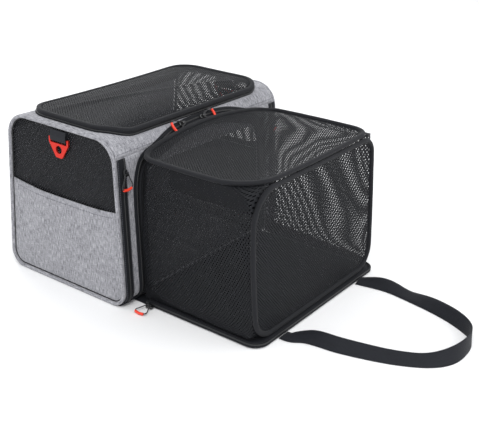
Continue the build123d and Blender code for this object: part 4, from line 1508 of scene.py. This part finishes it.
# ---- Sliders and pulls ----
PULL_ROUTE = [(0, -0.7), (0.4, -3.6), (5, -4.6), (13, -7.8), (19.5, -11.6), (24, -9.4), (26, 0),
              (24, 9.4), (19.5, 11.6), (13, 7.8), (5, 4.6), (0.4, 3.6), (0, 0.7)]
PULL_THICK = 1.8


def pull_frame(name):
    """Where a pull starts, the way it points, and its across direction, from its joint."""
    joint = next(j for j in frame["joints"] if j["child"] == f"pull_{name}")
    start = np.array(joint["pos_m"]) / MM
    across = -np.array(joint["axis"])
    sleeve = (low(f"pull_sleeve_{name}") + high(f"pull_sleeve_{name}")) / 2
    along = sleeve - start
    along = unit(along - across * (along @ across))
    return start, along, across


def make_pulls():
    """The sliders, and the cord loop and sleeve that pulls each one."""
    for name in PULLS:
        start, along, across = pull_frame(name)
        curve = bpy.data.curves.new(f"pull_cord_loop_{name}", "CURVE")
        curve.dimensions = "3D"
        spline = curve.splines.new("NURBS")
        spline.points.add(len(PULL_ROUTE) - 1)
        for point, (ahead, aside) in zip(spline.points, PULL_ROUTE):
            point.co = (*((start + along * ahead + across * aside) * MM), 1)
        spline.order_u = 3
        spline.use_endpoint_u = True
        curve.bevel_depth = PULL_THICK / 2 * MM
        curve.bevel_resolution = 3
        curve.materials.append(braided_cord())
        loop = bpy.data.objects.new(f"pull_cord_loop_{name}", curve)
        bpy.context.scene.collection.objects.link(loop)
        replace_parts(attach(loop, f"pull_{name}"), f"pull_cord_{name}")
        dress(f"pull_sleeve_{name}", moulded_silicone())
        dress(f"slider_{name}", painted_zinc())


# ---- Stage ----
FLOOR_HALF = 6000.0
FLOOR_HEIGHT = -0.3
LIT_POINT = (0, -0.2, 0.1)
# Name, place in metres, watts and width in metres.
SOFTBOXES = (
    ("key_softbox", (-1.6, -1.3, 2.4), 42.0, 1.6),
    ("fill_softbox", (1.2, -2.2, 1.4), 12.0, 1.8),
    ("rim_softbox", (0.8, 1.9, 1.7), 18.0, 1.4),
)
CAMERA_AZIMUTH, CAMERA_ELEVATION, CAMERA_ROLL = (math.radians(angle) for angle in (-54.0, 23.8, 1.8))
CAMERA_DISTANCE, CAMERA_RIGHT, CAMERA_UP = 1663.6, 163.3, 51.8


def make_stage():
    """Pale floor, soft light, and the camera."""
    floor = new_material("studio_paper_white")
    tree = floor.node_tree
    grain = stretched_noise(tree, object_place(tree), 3.0, 3.0)
    bump = add_node(tree, "ShaderNodeBump", {"Height": grain, "Strength": 0.05, "Distance": 0.0005})
    finish_material(floor, colour=to_linear(FLOOR_WHITE), roughness=0.9, normal=bump.outputs[0])
    points = [(FLOOR_HALF * a, FLOOR_HALF * b, FLOOR_HEIGHT) for a, b in ((-1, -1), (1, -1), (1, 1), (-1, 1))]
    ground = mesh_object("studio_floor", points, [(0, 1, 2, 3)], floor, smooth=False)

    bpy.context.scene.view_settings.view_transform = "Standard"
    world = bpy.data.worlds.new("studio_sky")
    world.use_nodes = True
    world.node_tree.nodes.clear()
    daylight = (0.97, 0.98, 1.0, 1.0)
    sky = add_node(world.node_tree, "ShaderNodeBackground", {"Color": daylight, "Strength": 1.0})
    add_node(world.node_tree, "ShaderNodeOutputWorld", {"Surface": sky.outputs[0]})
    bpy.context.scene.world = world
    for name, place, watts, width in SOFTBOXES:
        light = bpy.data.lights.new(name, "AREA")
        light.energy = watts
        light.size = width
        lamp = bpy.data.objects.new(name, light)
        lamp.location = place
        lamp.rotation_mode = "QUATERNION"
        lamp.rotation_quaternion = (Vector(LIT_POINT) - Vector(place)).to_track_quat("-Z", "Y")
        bpy.context.scene.collection.objects.link(lamp)

    level = math.cos(CAMERA_ELEVATION)
    back = np.array([math.sin(CAMERA_AZIMUTH) * level, -math.cos(CAMERA_AZIMUTH) * level,
                     math.sin(CAMERA_ELEVATION)])
    right = unit(np.cross([0, 0, 1], back))
    up = np.cross(back, right)
    right_rolled = right * math.cos(CAMERA_ROLL) + up * math.sin(CAMERA_ROLL)
    up_rolled = up * math.cos(CAMERA_ROLL) - right * math.sin(CAMERA_ROLL)
    place = back * CAMERA_DISTANCE + right_rolled * CAMERA_RIGHT + up_rolled * CAMERA_UP
    camera_data = bpy.data.cameras.new("camera")
    camera_data.lens = 67.64
    camera_data.sensor_width = 36.0
    camera_data.clip_start = 0.01
    camera_data.clip_end = 50.0
    camera = bpy.data.objects.new("camera", camera_data)
    turn = Matrix((right_rolled, up_rolled, back)).transposed()
    camera.matrix_world = Matrix.Translation(Vector(place * MM)) @ turn.to_4x4()
    bpy.context.scene.collection.objects.link(camera)
    bpy.context.scene.camera = camera


# ---- Operators ----
class CARRIER_OT_stage(bpy.types.Operator):
    """Lay the floor and set the lights and the camera"""

    bl_idname = "carrier.stage"
    bl_label = "Stage"

    def execute(self, context):
        make_stage()
        return {"FINISHED"}


class CARRIER_OT_pulls(bpy.types.Operator):
    """Finish the sliders and make their cord pulls"""

    bl_idname = "carrier.pulls"
    bl_label = "Zip sliders and pulls"

    def execute(self, context):
        make_pulls()
        return {"FINISHED"}


class CARRIER_OT_shell(bpy.types.Operator):
    """Make the carrier's panels with their seams"""

    bl_idname = "carrier.shell"
    bl_label = "Shell panels"

    def execute(self, context):
        make_shell()
        return {"FINISHED"}


class CARRIER_OT_mat(bpy.types.Operator):
    """Make the plush mat and finish its board"""

    bl_idname = "carrier.mat"
    bl_label = "Mat"

    def execute(self, context):
        make_mat()
        return {"FINISHED"}


class CARRIER_OT_ends(bpy.types.Operator):
    """Make both ends with their nets, pockets, piping and ring tabs"""

    bl_idname = "carrier.ends"
    bl_label = "End panels"

    def execute(self, context):
        for name, side in SIDES.items():
            make_end(name, side)
        return {"FINISHED"}


class CARRIER_OT_flap(bpy.types.Operator):
    """Make the top flap and its zip"""

    bl_idname = "carrier.flap"
    bl_label = "Top flap"

    def execute(self, context):
        make_flap()
        return {"FINISHED"}


class CARRIER_OT_front(bpy.types.Operator):
    """Make the corner zips and the band round the passage"""

    bl_idname = "carrier.front"
    bl_label = "Front zips and band"

    def execute(self, context):
        make_corner_zips()
        make_band()
        return {"FINISHED"}


class CARRIER_OT_cover(bpy.types.Operator):
    """Make the fold-up cover"""

    bl_idname = "carrier.cover"
    bl_label = "Cover"

    def execute(self, context):
        make_cover()
        return {"FINISHED"}


class CARRIER_OT_tent(bpy.types.Operator):
    """Make the tent's roof, sides and end"""

    bl_idname = "carrier.tent"
    bl_label = "Tent"

    def execute(self, context):
        make_roof()
        make_end_net()
        make_sides()
        return {"FINISHED"}


class CARRIER_OT_handles(bpy.types.Operator):
    """Make both webbing handles"""

    bl_idname = "carrier.handles"
    bl_label = "Handles"

    def execute(self, context):
        make_front_handle()
        make_rear_handle()
        return {"FINISHED"}


STEPS = (
    CARRIER_OT_stage, CARRIER_OT_pulls, CARRIER_OT_shell, CARRIER_OT_mat, CARRIER_OT_ends, CARRIER_OT_flap,
    CARRIER_OT_front, CARRIER_OT_cover, CARRIER_OT_tent, CARRIER_OT_handles,
)


class CARRIER_PT_panel(bpy.types.Panel):
    """Sizes, colours and steps of the carrier"""

    bl_idname = "CARRIER_PT_panel"
    bl_label = "Pet carrier"
    bl_space_type = "VIEW_3D"
    bl_region_type = "UI"
    bl_category = "Carrier"

    def draw(self, context):
        for group in (context.scene.carrier_sizes, context.scene.carrier_colours):
            box = self.layout.box()
            for field in group.bl_rna.properties.keys():
                if field not in ("rna_type", "name"):
                    box.prop(group, field)
        for step in STEPS:
            self.layout.operator(step.bl_idname)


CLASSES = (CarrierColours, CarrierSizes, *STEPS, CARRIER_PT_panel)


def register():
    """Adds the classes and the scene's settings."""
    for item in CLASSES:
        bpy.utils.register_class(item)
    bpy.types.Scene.carrier_sizes = PointerProperty(type=CarrierSizes)
    bpy.types.Scene.carrier_colours = PointerProperty(type=CarrierColours)


def unregister():
    """Takes them away again."""
    del bpy.types.Scene.carrier_colours
    del bpy.types.Scene.carrier_sizes
    for item in reversed(CLASSES):
        bpy.utils.unregister_class(item)


def main():
    """Runs every step in order."""
    register()
    for step in STEPS:
        group, action = step.bl_idname.split(".")
        getattr(getattr(bpy.ops, group), action)()


if __name__ == "__main__":
    main()
